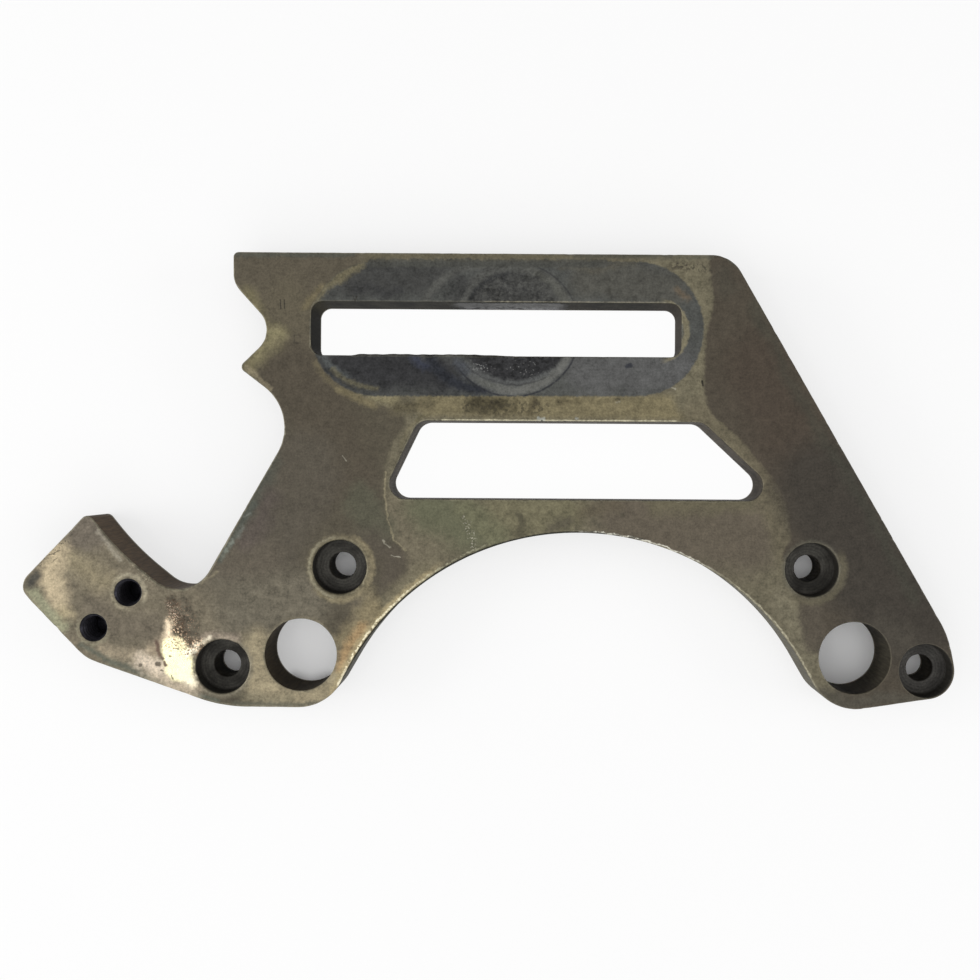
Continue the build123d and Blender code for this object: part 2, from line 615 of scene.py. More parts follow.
    def __post_init__(self) -> None:
        """Reads the holes' places and works out the rims."""
        mounts = {mount["name"]: mount for mount in frame["record"]["mounts"]}
        self.large_holes = [self.place_of(mounts[f"{side}_foot_bore"]) for side in ("left", "right")]
        self.outer_bolts = self.pair_of(mounts["outer_bolts"])
        self.upper_bolts = self.pair_of(mounts["upper_bolts"])
        self.taps = [self.place_of(mounts[f"{end}_arm_thread"]) for end in ("inner", "outer")]
        low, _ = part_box(NODE)
        self.base = Vector(((self.large_holes[0].x + self.large_holes[1].x) / 2, low.y / METRES))
        self.slot_left = self.base.x + self.slot_right_reach - self.slot_length
        self.slot_level = self.base.y + self.height - self.slot_top_land - self.slot_height / 2
        self.outline = self.outline_rim()
        self.slot = self.slot_rim()
        self.window = self.window_rim()
        self.large_rims = self.round_rims(self.large_holes, self.large_hole_radius)
        self.bolt_rims = self.round_rims(self.outer_bolts + self.upper_bolts, self.counterbore_radius)
        self.tap_rims = self.round_rims(self.taps, self.thread_mouth_radius, 2)
        rims = [self.outline, self.slot, self.window, *self.large_rims, *self.bolt_rims, *self.tap_rims]
        for rim in rims:
            others = [other.line for other in rims if other is not rim]
            rim.room = nearest(rim.points, np.concatenate(others))

    def bolt_centres(self) -> tuple[Point, ...]:
        """Centres of the four bolt holes."""
        return tuple((bolt.x, bolt.y) for bolt in self.outer_bolts + self.upper_bolts)

    def round_rims(self, holes: Sequence[Vector], radius: float, fineness: int = 1) -> list[Rim]:
        """The rims of holes of one size."""
        return [round_rim(hole, radius, self.hole_spacing / fineness) for hole in holes]

    @staticmethod
    def place_of(mount: dict) -> Vector:
        """The x and y of a mount."""
        return Vector(mount["pos_m"][:2]) / METRES

    @classmethod
    def pair_of(cls, mount: dict) -> list[Vector]:
        """The two holes of a pattern along x, the left one first."""
        half = Vector((mount["dims"]["spacing_x_mm"] / 2, 0))
        return [cls.place_of(mount) - half, cls.place_of(mount) + half]

    def outline_rim(self) -> Rim:
        """Draws the plate's outer shape.

        Returns:
            The rim, run anticlockwise.
        """
        right_hole, right_bolt, left_bolt = self.large_holes[1], self.outer_bolts[1], self.outer_bolts[0]
        inner_tap, outer_tap = self.taps
        arch_centre = self.base - Vector((0, self.arch_centre_drop))
        hole_margin = self.large_hole_radius + self.arch_leg_wall
        foot_radius = self.large_hole_radius + self.foot_wall
        corner_radius = self.counterbore_radius + self.corner_lip
        foot_to_corner = right_bolt - right_hole
        foot_taper = math.asin((foot_radius - corner_radius) / foot_to_corner.length)
        foot_rise = math.degrees(math.atan2(foot_to_corner.y, foot_to_corner.x) + foot_taper)
        notch_left = self.slot_left - self.upper_notch_land
        notch_root = Vector((notch_left, self.slot_level - self.upper_notch_drop))
        spike_tip = Vector((self.slot_left - self.spike_reach, self.slot_level - self.spike_drop))
        spike = spike_tip - notch_root
        right_lean, right_slope = 90 + self.right_side_lean, 180 - self.arch_leg_angle
        right_margin = corner_radius + self.right_side_margin
        hollow_angle = 180 - self.arm_inner_angle
        leg_margin = self.arch_radius + self.left_leg_width
        arm_middle = (inner_tap + outer_tap) / 2
        sides = [
            (Side(self.base, 0), hole_margin),
            (clear_of(arch_centre, -self.arch_radius, self.arch_leg_angle), self.arch_radius),
            (clear_of(arch_centre, -self.arch_radius, -self.arch_leg_angle), hole_margin),
            (clear_of(right_hole, foot_radius, foot_rise), corner_radius),
            (clear_of(right_bolt, corner_radius, right_lean), self.right_side_blend),
            (clear_of(right_bolt, right_margin, right_slope), self.top_right_radius),
            (Side(self.base + Vector((0, self.height)), 180), self.top_left_radius),
            (Side(Vector((self.slot_left - self.left_land, 0)), 270), self.left_shoulder_radius),
            (Side(notch_root, -self.upper_notch_flank), self.upper_notch_radius),
            (Side(notch_root, math.degrees(math.atan2(spike.y, spike.x))), self.spike_tip_radius),
            (Side(spike_tip, -self.spike_under_angle), self.lower_notch_radius),
            (clear_of(arch_centre, leg_margin, 180 + self.left_leg_angle), self.crotch_radius),
            (clear_of(inner_tap, self.arm_inner_margin, hollow_angle), self.arm_hollow_radius),
            (clear_of(inner_tap, self.arm_tip_margin, 180 - self.arm_tip_angle), self.arm_tip_radius),
            (clear_of(arm_middle, self.arm_end_margin, 180 + self.arm_end_angle), self.arm_heel_radius),
            (clear_of(outer_tap, self.arm_outer_margin, -self.arm_outer_angle), self.arm_bend_radius),
            (clear_of(left_bolt, self.arm_base_margin, -self.arm_base_angle), self.arm_base_radius),
        ]
        following = sides[1:] + sides[:1]
        corners = [side.corner(after) for (side, _), (after, _) in zip(sides, following)]
        radii = fitted_radii(corners, [radius for _, radius in sides])
        return rounded_rim(corners, radii, self.rim_spacing)

    def slot_rim(self) -> Rim:
        """Draws the long slot.

        Returns:
            The rim, run clockwise.
        """
        left, right = self.slot_left, self.slot_left + self.slot_length
        low, high = self.slot_level - self.slot_height / 2, self.slot_level + self.slot_height / 2
        corners = [Vector((left, low)), Vector((left, high)), Vector((right, high)), Vector((right, low))]
        return rounded_rim(corners, [self.slot_corner_radius] * 4, self.slot_spacing)

    def window_rim(self) -> Rim:
        """Draws the lightening window.

        Returns:
            The rim, run clockwise.
        """
        low = self.base.y + self.arch_radius - self.arch_centre_drop + self.window_crown_web
        high = low + self.window_height
        left, right = self.base.x - self.window_left_reach, self.base.x + self.window_right_reach
        left_run = self.window_height / math.tan(math.radians(self.window_left_slope))
        right_run = self.window_height / math.tan(math.radians(self.window_right_slope))
        places = ((left, low), (left + left_run, high), (right - right_run, high), (right, low))
        corners = [Vector(place) for place in places]
        return rounded_rim(corners, [self.window_corner_radius] * 4, self.rim_spacing)

    def hollows(self, points: Array) -> Array:
        """How far the blows lower the front face at each point."""
        return sum(dent.hollow(points) for dent in self.dents)

    def wear(self, rim: Rim, seed: int) -> Array:
        """Works out how far a rim is worn round, with a nick here and there.

        Args:
            rim: the rim.
            seed: picks its own wear for each rim.

        Returns:
            The radius of the worn edge at each sample.
        """
        slow, fast = ripple(rim.points, 9.0, seed), ripple(rim.points, 1.7, seed + 0.5)
        size = self.edge_break * (1.0 + 0.35 * slow + 0.4 * fast)
        rng = np.random.default_rng(seed)
        along = rim.along
        for place in np.arange(self.nick_spacing / 2, along[-1], self.nick_spacing):
            least = (place - self.nick_stray, self.nick_half_width[0], self.nick_depth[0])
            most = (place + self.nick_stray, self.nick_half_width[1], self.nick_depth[1])
            centre, half_width, depth = rng.uniform(least, most)
            size = size + depth * np.clip(1 - ((along - centre) / half_width) ** 2, 0, None)
        return np.maximum(size, self.edge_break / 2)

    def front_edge(
        self, skin: Skin, rim: Rim, wear: Array, wall: Zone, push: Amount = 0.0
    ) -> Rings:
        """Lays the border of the front face and the worn edge below it.

        Args:
            skin: the surface.
            rim: the rim.
            wear: the radius of the worn edge at each sample.
            wall: the finish of the wall below.
            push: how far the edge is pushed out over the wall.

        Returns:
            The ring that bounds the flat face, and the last ring of the edge.
        """
        edge_room, near_room, border_room = (share * rim.room for share in self.room_shares)
        radius = np.minimum(wear, edge_room)
        near = np.minimum(np.maximum(self.near_width, radius + 0.25), near_room)
        border = np.minimum(near + 0.7, border_room)
        flat = rim.moved(-border)
        first = ring = skin.ring(flat, self.thickness - self.hollows(flat), edge=1.0)
        flat = rim.moved(-near)
        ring = skin.band(ring, skin.ring(flat, self.thickness - self.hollows(flat), edge=0.5), Zone.FACE)
        for tilt in np.radians((0, 22.5, 45, 67.5, 90)):
            flat = rim.moved(push * math.sin(tilt) - radius * (1 - math.sin(tilt)))
            height = self.thickness - radius * (1 - math.cos(tilt)) - self.hollows(flat)
            zone = Zone.FACE if math.degrees(tilt) < 80 else wall
            ring = skin.band(ring, skin.ring(flat, height), zone)
        return first, ring

    def back_edge(self, skin: Skin, ring: Array, rim: Rim, inward: float = 0.0) -> Array:
        """Lays the back edge and the border of the back face.

        Args:
            skin: the surface.
            ring: the last ring of the wall.
            rim: the rim at the front.
            inward: how far the wall stands inside that rim.

        Returns:
            The ring that bounds the flat back face.
        """
        edge_room, near_room, border_room = (share * rim.room for share in self.room_shares)
        radius = np.minimum(self.edge_break, edge_room)
        for tilt in np.radians((90, 60, 30, 0)):
            flat = rim.moved(inward - radius * (1 - math.sin(tilt)))
            ring = skin.band(ring, skin.ring(flat, radius * (1 - math.cos(tilt))), Zone.BACK)
        near, border = np.minimum(self.near_width, near_room), np.minimum(1.3, border_room)
        ring = skin.band(ring, skin.ring(rim.moved(inward - near), 0.0, edge=0.5), Zone.BACK)
        return skin.band(ring, skin.ring(rim.moved(inward - border), 0.0, edge=1.0), Zone.BACK)

    def through_cut(self, skin: Skin, rim: Rim, wall: Zone, seed: int) -> Rings:
        """Lays a rim's edges and the plain wall between them.

        Args:
            skin: the surface.
            rim: the rim.
            wall: the wall's finish.
            seed: picks the rim's wear.

        Returns:
            The rings that bound the front and the back face.
        """
        wear = self.wear(rim, seed)
        if rim is self.outline:
            wear = wear + sum(blunt.extra(rim.points) for blunt in self.blunt)
        front, ring = self.front_edge(skin, rim, wear, wall)
        for depth, edge in self.wall_rows:
            ring = skin.band(ring, skin.ring(rim.points, self.thickness - depth, edge=edge), wall)
        return front, self.back_edge(skin, ring, rim)

    def slot_cut(self, skin: Skin, seed: int) -> Rings:
        """Lays the slot's wall, pushed over along the lower edge and torn along the upper one.

        Args:
            skin: the surface.
            seed: picks the rim's wear.

        Returns:
            The rings that bound the front and the back face.
        """
        rim = self.slot
        x = rim.points[:, 0]
        lower, upper = rim.outward[:, 1] > 0.9, rim.outward[:, 1] < -0.9
        ragged = 0.85 + 0.5 * ripple(rim.points, 4.0, seed)
        burr = np.where(lower, between(x, self.burr_span, 2.5, 14.0) * self.burr_reach * ragged, 0.0)
        torn = np.where(upper, between(x, self.gall_span, 5.0, 3.0), 0.0)
        front, ring = self.front_edge(skin, rim, self.wear(rim, seed), Zone.SLOT_WALL, burr)
        for depth in self.slot_rows:
            stretched = np.column_stack((x / 3.5, np.full(len(x), depth * 1.1)))
            tear = torn * np.clip(1.1 - abs(depth - self.gall_depth) / self.gall_depth, 0, 1)
            coarse, fine = ripple(stretched, 1.0, seed + 3), ripple(stretched, 0.35, seed + 5)
            lump = tear * (0.22 * coarse + 0.12 * fine - 0.1)
            fold = burr * math.exp(-((depth / self.burr_height) ** 2))
            edge = min(1.0, depth / 2)
            row = skin.ring(rim.moved(lump + fold), self.thickness - depth, edge=edge, gall=tear)
            ring = skin.band(ring, row, Zone.SLOT_WALL)
        return front, self.back_edge(skin, ring, rim)

    def bolt_hole(self, skin: Skin, rim: Rim, worn: float, seed: int) -> Rings:
        """Lays a counterbore, its seat and the bolt hole below.

        Args:
            skin: the surface.
            rim: the counterbore's rim.
            worn: about how far the rim is rounded.
            seed: picks the rim's wear.

        Returns:
            The rings that bound the front and the back face.
        """
        front, ring = self.front_edge(skin, rim, self.wear(rim, seed) / self.edge_break * worn, Zone.SEAT)
        seat = self.thickness - self.counterbore_depth
        inward = self.counterbore_radius - self.bolt_radius
        profile = [
            (0.0, self.thickness - 1.2), (0.0, self.thickness - 3.5), (0.0, seat + 2.0), (0.0, seat + 0.45),
            (0.12, seat + 0.13), (0.45, seat), (1.4, seat), (2.6, seat), (inward - 0.35, seat),
            (inward - 0.1, seat - 0.1), (inward, seat - 0.35),
        ]
        for step, height in profile:
            row = skin.ring(rim.moved(step), height, edge=1.0, radius=self.counterbore_radius - step)
            ring = skin.band(ring, row, Zone.SEAT)
        for height in (seat - 2.0, seat / 2, 1.2):
            row = skin.ring(rim.moved(inward), height, edge=1.0, radius=self.bolt_radius)
            ring = skin.band(ring, row, Zone.BORE)
        return front, self.back_edge(skin, ring, rim, inward)

    def tapped_hole(self, skin: Skin, rim: Rim, place: Vector, seed: int) -> Array:
        """Lays a thread's helix, the drilled end below it and the drill point.

        Args:
            skin: the surface.
            rim: the rim of its mouth.
            place: its centre.
            seed: picks the rim's wear.

        Returns:
            The ring that bounds the front face.
        """
        front, ring = self.front_edge(skin, rim, self.wear(rim, seed) * 0.5, Zone.THREAD)
        turn = np.arctan2(-rim.outward[:, 1], -rim.outward[:, 0]) / (2 * math.pi)
        rows = math.ceil((self.thread_depth + self.thread_pitch) / self.thread_pitch * self.thread_rows)
        depth_of_groove = self.thread_major_radius - self.thread_minor_radius
        for row in range(self.thread_first_row, rows):
            depth = row * self.thread_pitch / self.thread_rows
            phase = (-depth / self.thread_pitch - turn) % 1.0
            # A little more than a plain V, so that crests and roots are flat
            groove = np.clip(1.15 * (1 - 2 * abs(phase - 0.5)) - 0.07, 0, 1)
            fade = min(1.0, max(0.0, (self.thread_depth - depth) / self.thread_pitch + 1))
            radius = self.thread_minor_radius + depth_of_groove * groove * fade
            radius = np.maximum(radius, self.thread_mouth_radius - depth)
            flat = rim.moved(self.thread_mouth_radius - radius)
            row_ring = skin.ring(flat, self.thickness - depth, edge=1.0, gall=groove)
            ring = skin.band(ring, row_ring, Zone.THREAD)
        drilled = rim.moved(self.thread_mouth_radius - self.thread_minor_radius)
        bottom = self.thickness - self.tap_drill_depth
        ring = skin.band(ring, skin.ring(drilled, bottom, edge=1.0), Zone.THREAD)
        drop = self.thread_minor_radius / math.tan(math.radians(self.drill_point_angle / 2))
        skin.point_cap(ring, place, bottom - drop, Zone.THREAD)
        return front

    def inner_points(self, skin: Skin, rings: Sequence[Array], front: bool) -> Array:
        """Scatters vertices over a face, closer together at the blows.

        Args:
            skin: the surface.
            rings: the rings that bound the face.
            front: whether it is the front face.

        Returns:
            The new vertices' indices.
        """
        rng = np.random.default_rng(7)
        half = self.face_spacing / 2
        low, high = self.outline.points.min(axis=0), self.outline.points.max(axis=0)
        across, up = np.meshgrid(*(np.arange(a + half, b, self.face_spacing) for a, b in zip(low, high)))
        spots = np.column_stack((across.ravel(), up.ravel()))
        spots = spots + rng.uniform(-0.3, 0.3, spots.shape) * self.face_spacing
        places = np.concatenate(skin.places)[:, :2]
        border = np.concatenate([places[ring] for ring in rings])
        spots = spots[nearest(spots, border) > half * 0.8]
        if front:
            patches = []
            for dent in self.dents:
                place, reach = np.array(dent.place), 2.2 * dent.length
                steps = np.arange(-reach, reach, self.dent_spacing)
                u, v = (part.ravel() for part in np.meshgrid(steps, steps))
                patch = np.column_stack((u, v))[np.hypot(u, v) < 2.1 * dent.length] + place
                spots = spots[np.hypot(*(spots - place).T) > 2.6 * dent.length]
                patches.append(patch + rng.uniform(-0.04, 0.04, patch.shape))
            patch = np.concatenate(patches)
            spots = np.concatenate((spots, patch[nearest(patch, border) > self.dent_spacing]))
        spots = spots[inside(spots, [places[ring] for ring in rings])]
        height = self.thickness - self.hollows(spots) if front else 0.0
        return skin.ring(spots, height, edge=1.0)

    def build(self, materials: Sequence[bpy.types.Material], plots: Sequence[Plot]) -> bpy.types.Object:
        """Makes the plate's mesh and puts it in the place of the CAD node.

        Args:
            materials: the material of each zone, and then of each plot of the front face.
            plots: the plots.

        Returns:
            The piece.
        """
        skin = Skin()
        cuts = [self.through_cut(skin, self.outline, Zone.WALL, 1), self.slot_cut(skin, 2)]
        cuts.append(self.through_cut(skin, self.window, Zone.WALL, 3))
        cuts += [self.through_cut(skin, rim, Zone.BORE, 4 + i) for i, rim in enumerate(self.large_rims)]
        bolts = zip(self.bolt_rims, self.bolt_wear)
        cuts += [self.bolt_hole(skin, rim, worn, 6 + i) for i, (rim, worn) in enumerate(bolts)]
        fronts, backs = [front for front, _ in cuts], [back for _, back in cuts]
        for i, (rim, place) in enumerate(zip(self.tap_rims, self.taps)):
            fronts.append(self.tapped_hole(skin, rim, place, 10 + i))
        area = skin.fill(fronts, self.inner_points(skin, fronts, True), True, Zone.FACE)
        skin.fill(backs, self.inner_points(skin, backs, False), False, Zone.BACK)
        piece = skin.build("worn_plate", materials)
        divide_face(piece.data, plots)
        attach(piece, "root")
        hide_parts(NODE)
        report.info("worn_plate: %d faces, front face %.0f mm2", len(piece.data.polygons), area)
        return piece


# Finishes


def linear(colour: Colour) -> tuple[float, float, float, float]:
    """Turns a colour as a screen shows it, 0 to 255, into the light that it stands for."""
    parts = [part / 255 for part in colour]
    return (*(part / 12.92 if part <= 0.04045 else ((part + 0.055) / 1.055) ** 2.4 for part in parts), 1.0)


class Field:
    """A value that varies over the surface, kept as an output of the finish's nodes."""

    def __init__(self, nodes: "Tree", socket: bpy.types.NodeSocket) -> None:
        """Holds the output and the nodes that it belongs to."""
        self.nodes = nodes
        self.socket = socket

    def __add__(self, other: "Field | float") -> "Field":
        """The sum."""
        return self.nodes.math("ADD", self, other)

    def __sub__(self, other: "Field | float") -> "Field":
        """The difference."""
        return self.nodes.math("SUBTRACT", self, other)

    def __mul__(self, other: "Field | float") -> "Field":
        """The product."""
        return self.nodes.math("MULTIPLY", self, other)

    __radd__, __rmul__ = __add__, __mul__


class Tree:
    """A node tree, with a short call for each kind of node that several parts of it need."""

    def __init__(self, tree: bpy.types.NodeTree) -> None:
        """Empties the tree."""
        self.tree = tree
        self.tree.nodes.clear()

    def add(self, kind: str, **settings: object) -> bpy.types.Node:
        """Adds a node.

        Args:
            kind: its type.
            settings: its properties.

        Returns:
            The node.
        """
        node = self.tree.nodes.new(kind)
        for name, value in settings.items():
            setattr(node, name, value)
        return node

    def read(self, kind: str, output: str, **settings: object) -> Field:
        """Adds a node that gives a value, and reads one of its outputs."""
        return Field(self, self.add(kind, **settings).outputs[output])

    def feed(self, socket: bpy.types.NodeSocket, value: object) -> None:
        """Gives an input its value.

        Args:
            socket: the input.
            value: a field, which is linked, or a plain value.
        """
        if isinstance(value, Field):
            self.tree.links.new(value.socket, socket)
        else:
            socket.default_value = value

    def math(self, operation: str, *values: Field | float) -> Field:
        """Adds a calculation on numbers.

        Args:
            operation: its name.
            values: what it works on.

        Returns:
            The result.
        """
        node = self.add("ShaderNodeMath", operation=operation)
        for socket, value in zip(node.inputs, values):
            self.feed(socket, value)
        return Field(self, node.outputs[0])

    def vector(self, operation: str, *values: object, scale: Field | float = 1.0) -> Field:
        """Adds a calculation on vectors.

        Args:
            operation: its name.
            values: what it works on.
            scale: the factor of SCALE.

        Returns:
            The result, a vector or a number.
        """
        node = self.add("ShaderNodeVectorMath", operation=operation)
        for socket, value in zip(node.inputs, values):
            self.feed(socket, value)
        if operation == "SCALE":
            self.feed(node.inputs["Scale"], scale)
        number = operation in ("DOT_PRODUCT", "LENGTH", "DISTANCE")
        return Field(self, node.outputs["Value" if number else "Vector"])

    def ramp(self, value: Field, zero: float, one: float, top: float = 1.0) -> Field:
        """Turns a value into a share that eases from 0 to top.

        Args:
            value: the value.
            zero: where the share is 0.
            one: where it reaches the top.
            top: the largest share.

        Returns:
            The share.
        """
        node = self.add("ShaderNodeMapRange", interpolation_type="SMOOTHSTEP")
        self.feed(node.inputs["Value"], value)
        for name, limit in (("From Min", zero), ("From Max", one), ("To Min", 0.0), ("To Max", top)):
            self.feed(node.inputs[name], limit)
        return Field(self, node.outputs["Result"])


class Nodes(Tree):
    """The node tree of one finish, in which places are millimetres."""

    COLOUR_MIX = (6, 7, 2)
    VECTOR_MIX = (4, 5, 1)

    def __init__(self, name: str) -> None:
        """Starts a material with its place at hand.

        Args:
            name: the material's name.
        """
        self.material = bpy.data.materials.new(name)
        self.material.use_nodes = True
        super().__init__(self.material.node_tree)
        spot = self.read("ShaderNodeTexCoord", "Object")
        self.place = self.vector("SCALE", spot, scale=1 / METRES)
        self.flat = self.vector("MULTIPLY", self.place, (1.0, 1.0, 0.0))
        self.warps: dict[Ragged, Field] = {Ragged.CLEAN: self.flat}

    def warp(self, ragged: Ragged) -> Field:
        """The place on the face, moved about so that a stain's edge wanders.

        Args:
            ragged: how far it wanders.

        Returns:
            The place.
        """
        if ragged not in self.warps:
            below, size, reach = {
                Ragged.FINE: (Ragged.CLEAN, 2.2, 1.6),
                Ragged.COARSE: (Ragged.FINE, 9.0, 7.0),
            }[ragged]
            self.warps[ragged] = self.swirl(self.warp(below), size, reach)
        return self.warps[ragged]

    def curve(self, value: Field, points: Sequence[Point]) -> Field:
        """Looks a value up on a curve.

        Args:
            value: the value, from 0 to 1.
            points: the points of the curve, from 0 to 1 both ways.

        Returns:
            The height of the curve there.
        """
        node = self.add("ShaderNodeFloatCurve")
        line = node.mapping.curves[0].points
        for spot, point in zip(line, (points[0], points[-1])):
            spot.location = point
        for point in points[1:-1]:
            line.new(*point)
        node.mapping.update()
        self.feed(node.inputs["Value"], value)
        return Field(self, node.outputs["Value"])

    def mix(self, sockets: tuple[int, int, int], share: Field, below: object, above: object) -> Field:
        """Blends two colours or vectors.

        Args:
            sockets: COLOUR_MIX or VECTOR_MIX.
            share: how much of the upper one shows.
            below: the lower one.
            above: the upper one.

        Returns:
            The blend.
        """
        kind = "RGBA" if sockets == self.COLOUR_MIX else "VECTOR"
        node = self.add("ShaderNodeMix", data_type=kind)
        first, second, result = sockets
        for socket, value in ((0, share), (first, below), (second, above)):
            self.feed(node.inputs[socket], value)
        return Field(self, node.outputs[result])

    def grain(self, size: float | Size, detail: float = 2.0, shift: float = 0.0) -> Field:
        """Adds a noise.

        Args:
            size: about how large its bumps are, which may differ along x, y and z.
            detail: how many finer layers it has.
            shift: picks another part of it.

        Returns:
            The noise, from 0 to 1.
        """
        sizes = size if isinstance(size, tuple) else (size, size, size)
        scales = tuple(1 / part for part in sizes)
        place = self.vector("MULTIPLY_ADD", self.place, scales, (shift, shift, shift))
        node = self.add("ShaderNodeTexNoise")
        self.feed(node.inputs["Vector"], place)
        self.feed(node.inputs["Scale"], 1.0)
        self.feed(node.inputs["Detail"], detail)
        return Field(self, node.outputs["Fac"])

    def swirl(self, place: Field, size: float, reach: float) -> Field:
        """Moves a place about by noise.

        Args:
            place: the place.
            size: about how large the noise's bumps are.
            reach: twice as far as it may move.

        Returns:
            The moved place.
        """
        node = self.add("ShaderNodeTexNoise")
        self.feed(node.inputs["Vector"], place)
        self.feed(node.inputs["Scale"], 1 / size)
        self.feed(node.inputs["Detail"], 3.0)
        offset = self.vector("SUBTRACT", Field(self, node.outputs["Color"]), (0.5, 0.5, 0.5))
        return self.vector("ADD", place, self.vector("MULTIPLY", offset, (reach, reach, 0.0)))

    @cached_property
    def stipple(self) -> Field:
        """Fine noise from about -1 to 1 that breaks up the edges of the stains."""
        return (self.grain(1.3, 5.0, 21.0) - 0.5) * 4.0

    def trait(self, name: str) -> Field:
        """A value that the mesh carries."""
        return self.read("ShaderNodeAttribute", "Fac", attribute_name=name)


@dataclass(frozen=True)
class Patina:
    """One state of the metal's skin.

    Attributes:
        colour: as a screen shows it, 0 to 255.
        roughness: the shader's roughness.
        metal: how much of the light it returns as bare metal does.
        fret: how strongly it is speckled and pitted.
    """

    colour: Colour
    roughness: float
    metal: float
    fret: float = 0.0


def oxide(red: int, green: int, blue: int, fret: float = 0.15) -> Patina:
    """Dull oxidised skin of a colour."""
    return Patina((red, green, blue), 0.52, 0.7, fret)


def aged(red: int, green: int, blue: int) -> Patina:
    """Yellowish skin that age has blotched."""
    return Patina((red, green, blue), 0.52, 0.7, 0.38)


def rubbed(red: int, green: int, blue: int, fret: float = 0.3) -> Patina:
    """Grey metal that the idler's washer rubbed bare."""
    return Patina((red, green, blue), 0.46, 0.85, fret)


def bright(red: int, green: int, blue: int, roughness: float = 0.3) -> Patina:
    """Clean, glossy metal; also used for painted highlights and glints on the rims and the arch's edge."""
    return Patina((red, green, blue), roughness, 1.0)


def gap_to_stretch(nodes: Nodes, place: Field, start: Point, end: Point) -> Field:
    """Measures how far a place is from a straight stretch.

    Args:
        nodes: the finish's nodes.
        place: the place.
        start: one end of the stretch.
        end: its other end.

    Returns:
        The distance in millimetres.
    """
    dx, dy = end[0] - start[0], end[1] - start[1]
    square = dx * dx + dy * dy
    offset = nodes.vector("SUBTRACT", place, (*start, 0.0))
    reach = nodes.vector("DOT_PRODUCT", offset, (dx / square, dy / square, 0.0))
    limit = nodes.add("ShaderNodeClamp")
    nodes.feed(limit.inputs["Value"], reach)
    reach = Field(nodes, limit.outputs["Result"])
    return nodes.vector("DISTANCE", offset, nodes.vector("SCALE", (dx, dy, 0.0), scale=reach))


def gap_to_path(nodes: Nodes, place: Field, path: Sequence[Point]) -> Field:
    """Measures how far a place is from a point, or from the stretches between several points.

    Args:
        nodes: the finish's nodes.
        place: the place.
        path: the points.

    Returns:
        The distance in millimetres.
    """
    if len(path) == 1:
        return nodes.vector("DISTANCE", place, (*path[0], 0.0))
    gap, *others = (gap_to_stretch(nodes, place, *ends) for ends in zip(path, path[1:]))
    for other in others:
        gap = nodes.math("MINIMUM", gap, other)
    return gap


def frayed(nodes: Nodes, gap: Field, soft: float, unit: float = 1.0) -> Field:
    """Moves an edge by the fine noise, the further the softer it is."""
    return nodes.math("MULTIPLY_ADD", nodes.stipple, min(0.8 * soft, 0.35 + 0.14 * soft) * unit, gap)


def reach_beyond(soft: float, ragged: Ragged) -> float:
    """How far a stain can reach beyond its outline, with room for the size of the mesh's triangles."""
    triangle = 2.5
    return 2.1 * soft + ragged.value + triangle


@dataclass(frozen=True)
class Blot:
    """Stain or mark round a point, or along the stretches between several points."""

    path: Path
    radius: float
    soft: float
    patina: Patina
    strength: float = 1.0
    ragged: Ragged = Ragged.COARSE

    @property
    def extent(self) -> Plot:
        """The rectangle that the stain can reach."""
        return plot_round(self.path, self.radius + reach_beyond(self.soft, self.ragged))

    def share(self, nodes: Nodes) -> Field:
        """How much of the skin shows the stain."""
        gap = frayed(nodes, gap_to_path(nodes, nodes.warp(self.ragged), self.path), self.soft)
        return nodes.ramp(gap, self.radius + self.soft, self.radius - self.soft, self.strength)


def smear(path: Path, radius: float, soft: float, patina: Patina, strength: float = 1.0) -> Blot:
    """Blot with a finely ragged edge."""
    return Blot(path, radius, soft, patina, strength, Ragged.FINE)


def stroke(path: Path, radius: float, soft: float, patina: Patina, strength: float = 1.0) -> Blot:
    """Blot with a clean edge."""
    return Blot(path, radius, soft, patina, strength, Ragged.CLEAN)


@dataclass(frozen=True)
class Specks:
    """Small specks scattered over a blot.

    Attributes:
        blot: where they lie, and their patina.
        size: about how large they are.
        limit: how sparse they are, from 0.5 for half of the blot to 0.7 for next to none.
    """

    blot: Blot
    size: float
    limit: float

    @property
    def patina(self) -> Patina:
        """The specks' own skin."""
        return self.blot.patina

    @property
    def extent(self) -> Plot:
        """The rectangle that the specks can reach."""
        return self.blot.extent

    def share(self, nodes: Nodes) -> Field:
        """How much of the skin shows a speck."""
        specks = nodes.grain(self.size, 2.0, self.size + self.blot.radius)
        return self.blot.share(nodes) * nodes.ramp(specks, self.limit, self.limit + 0.05)


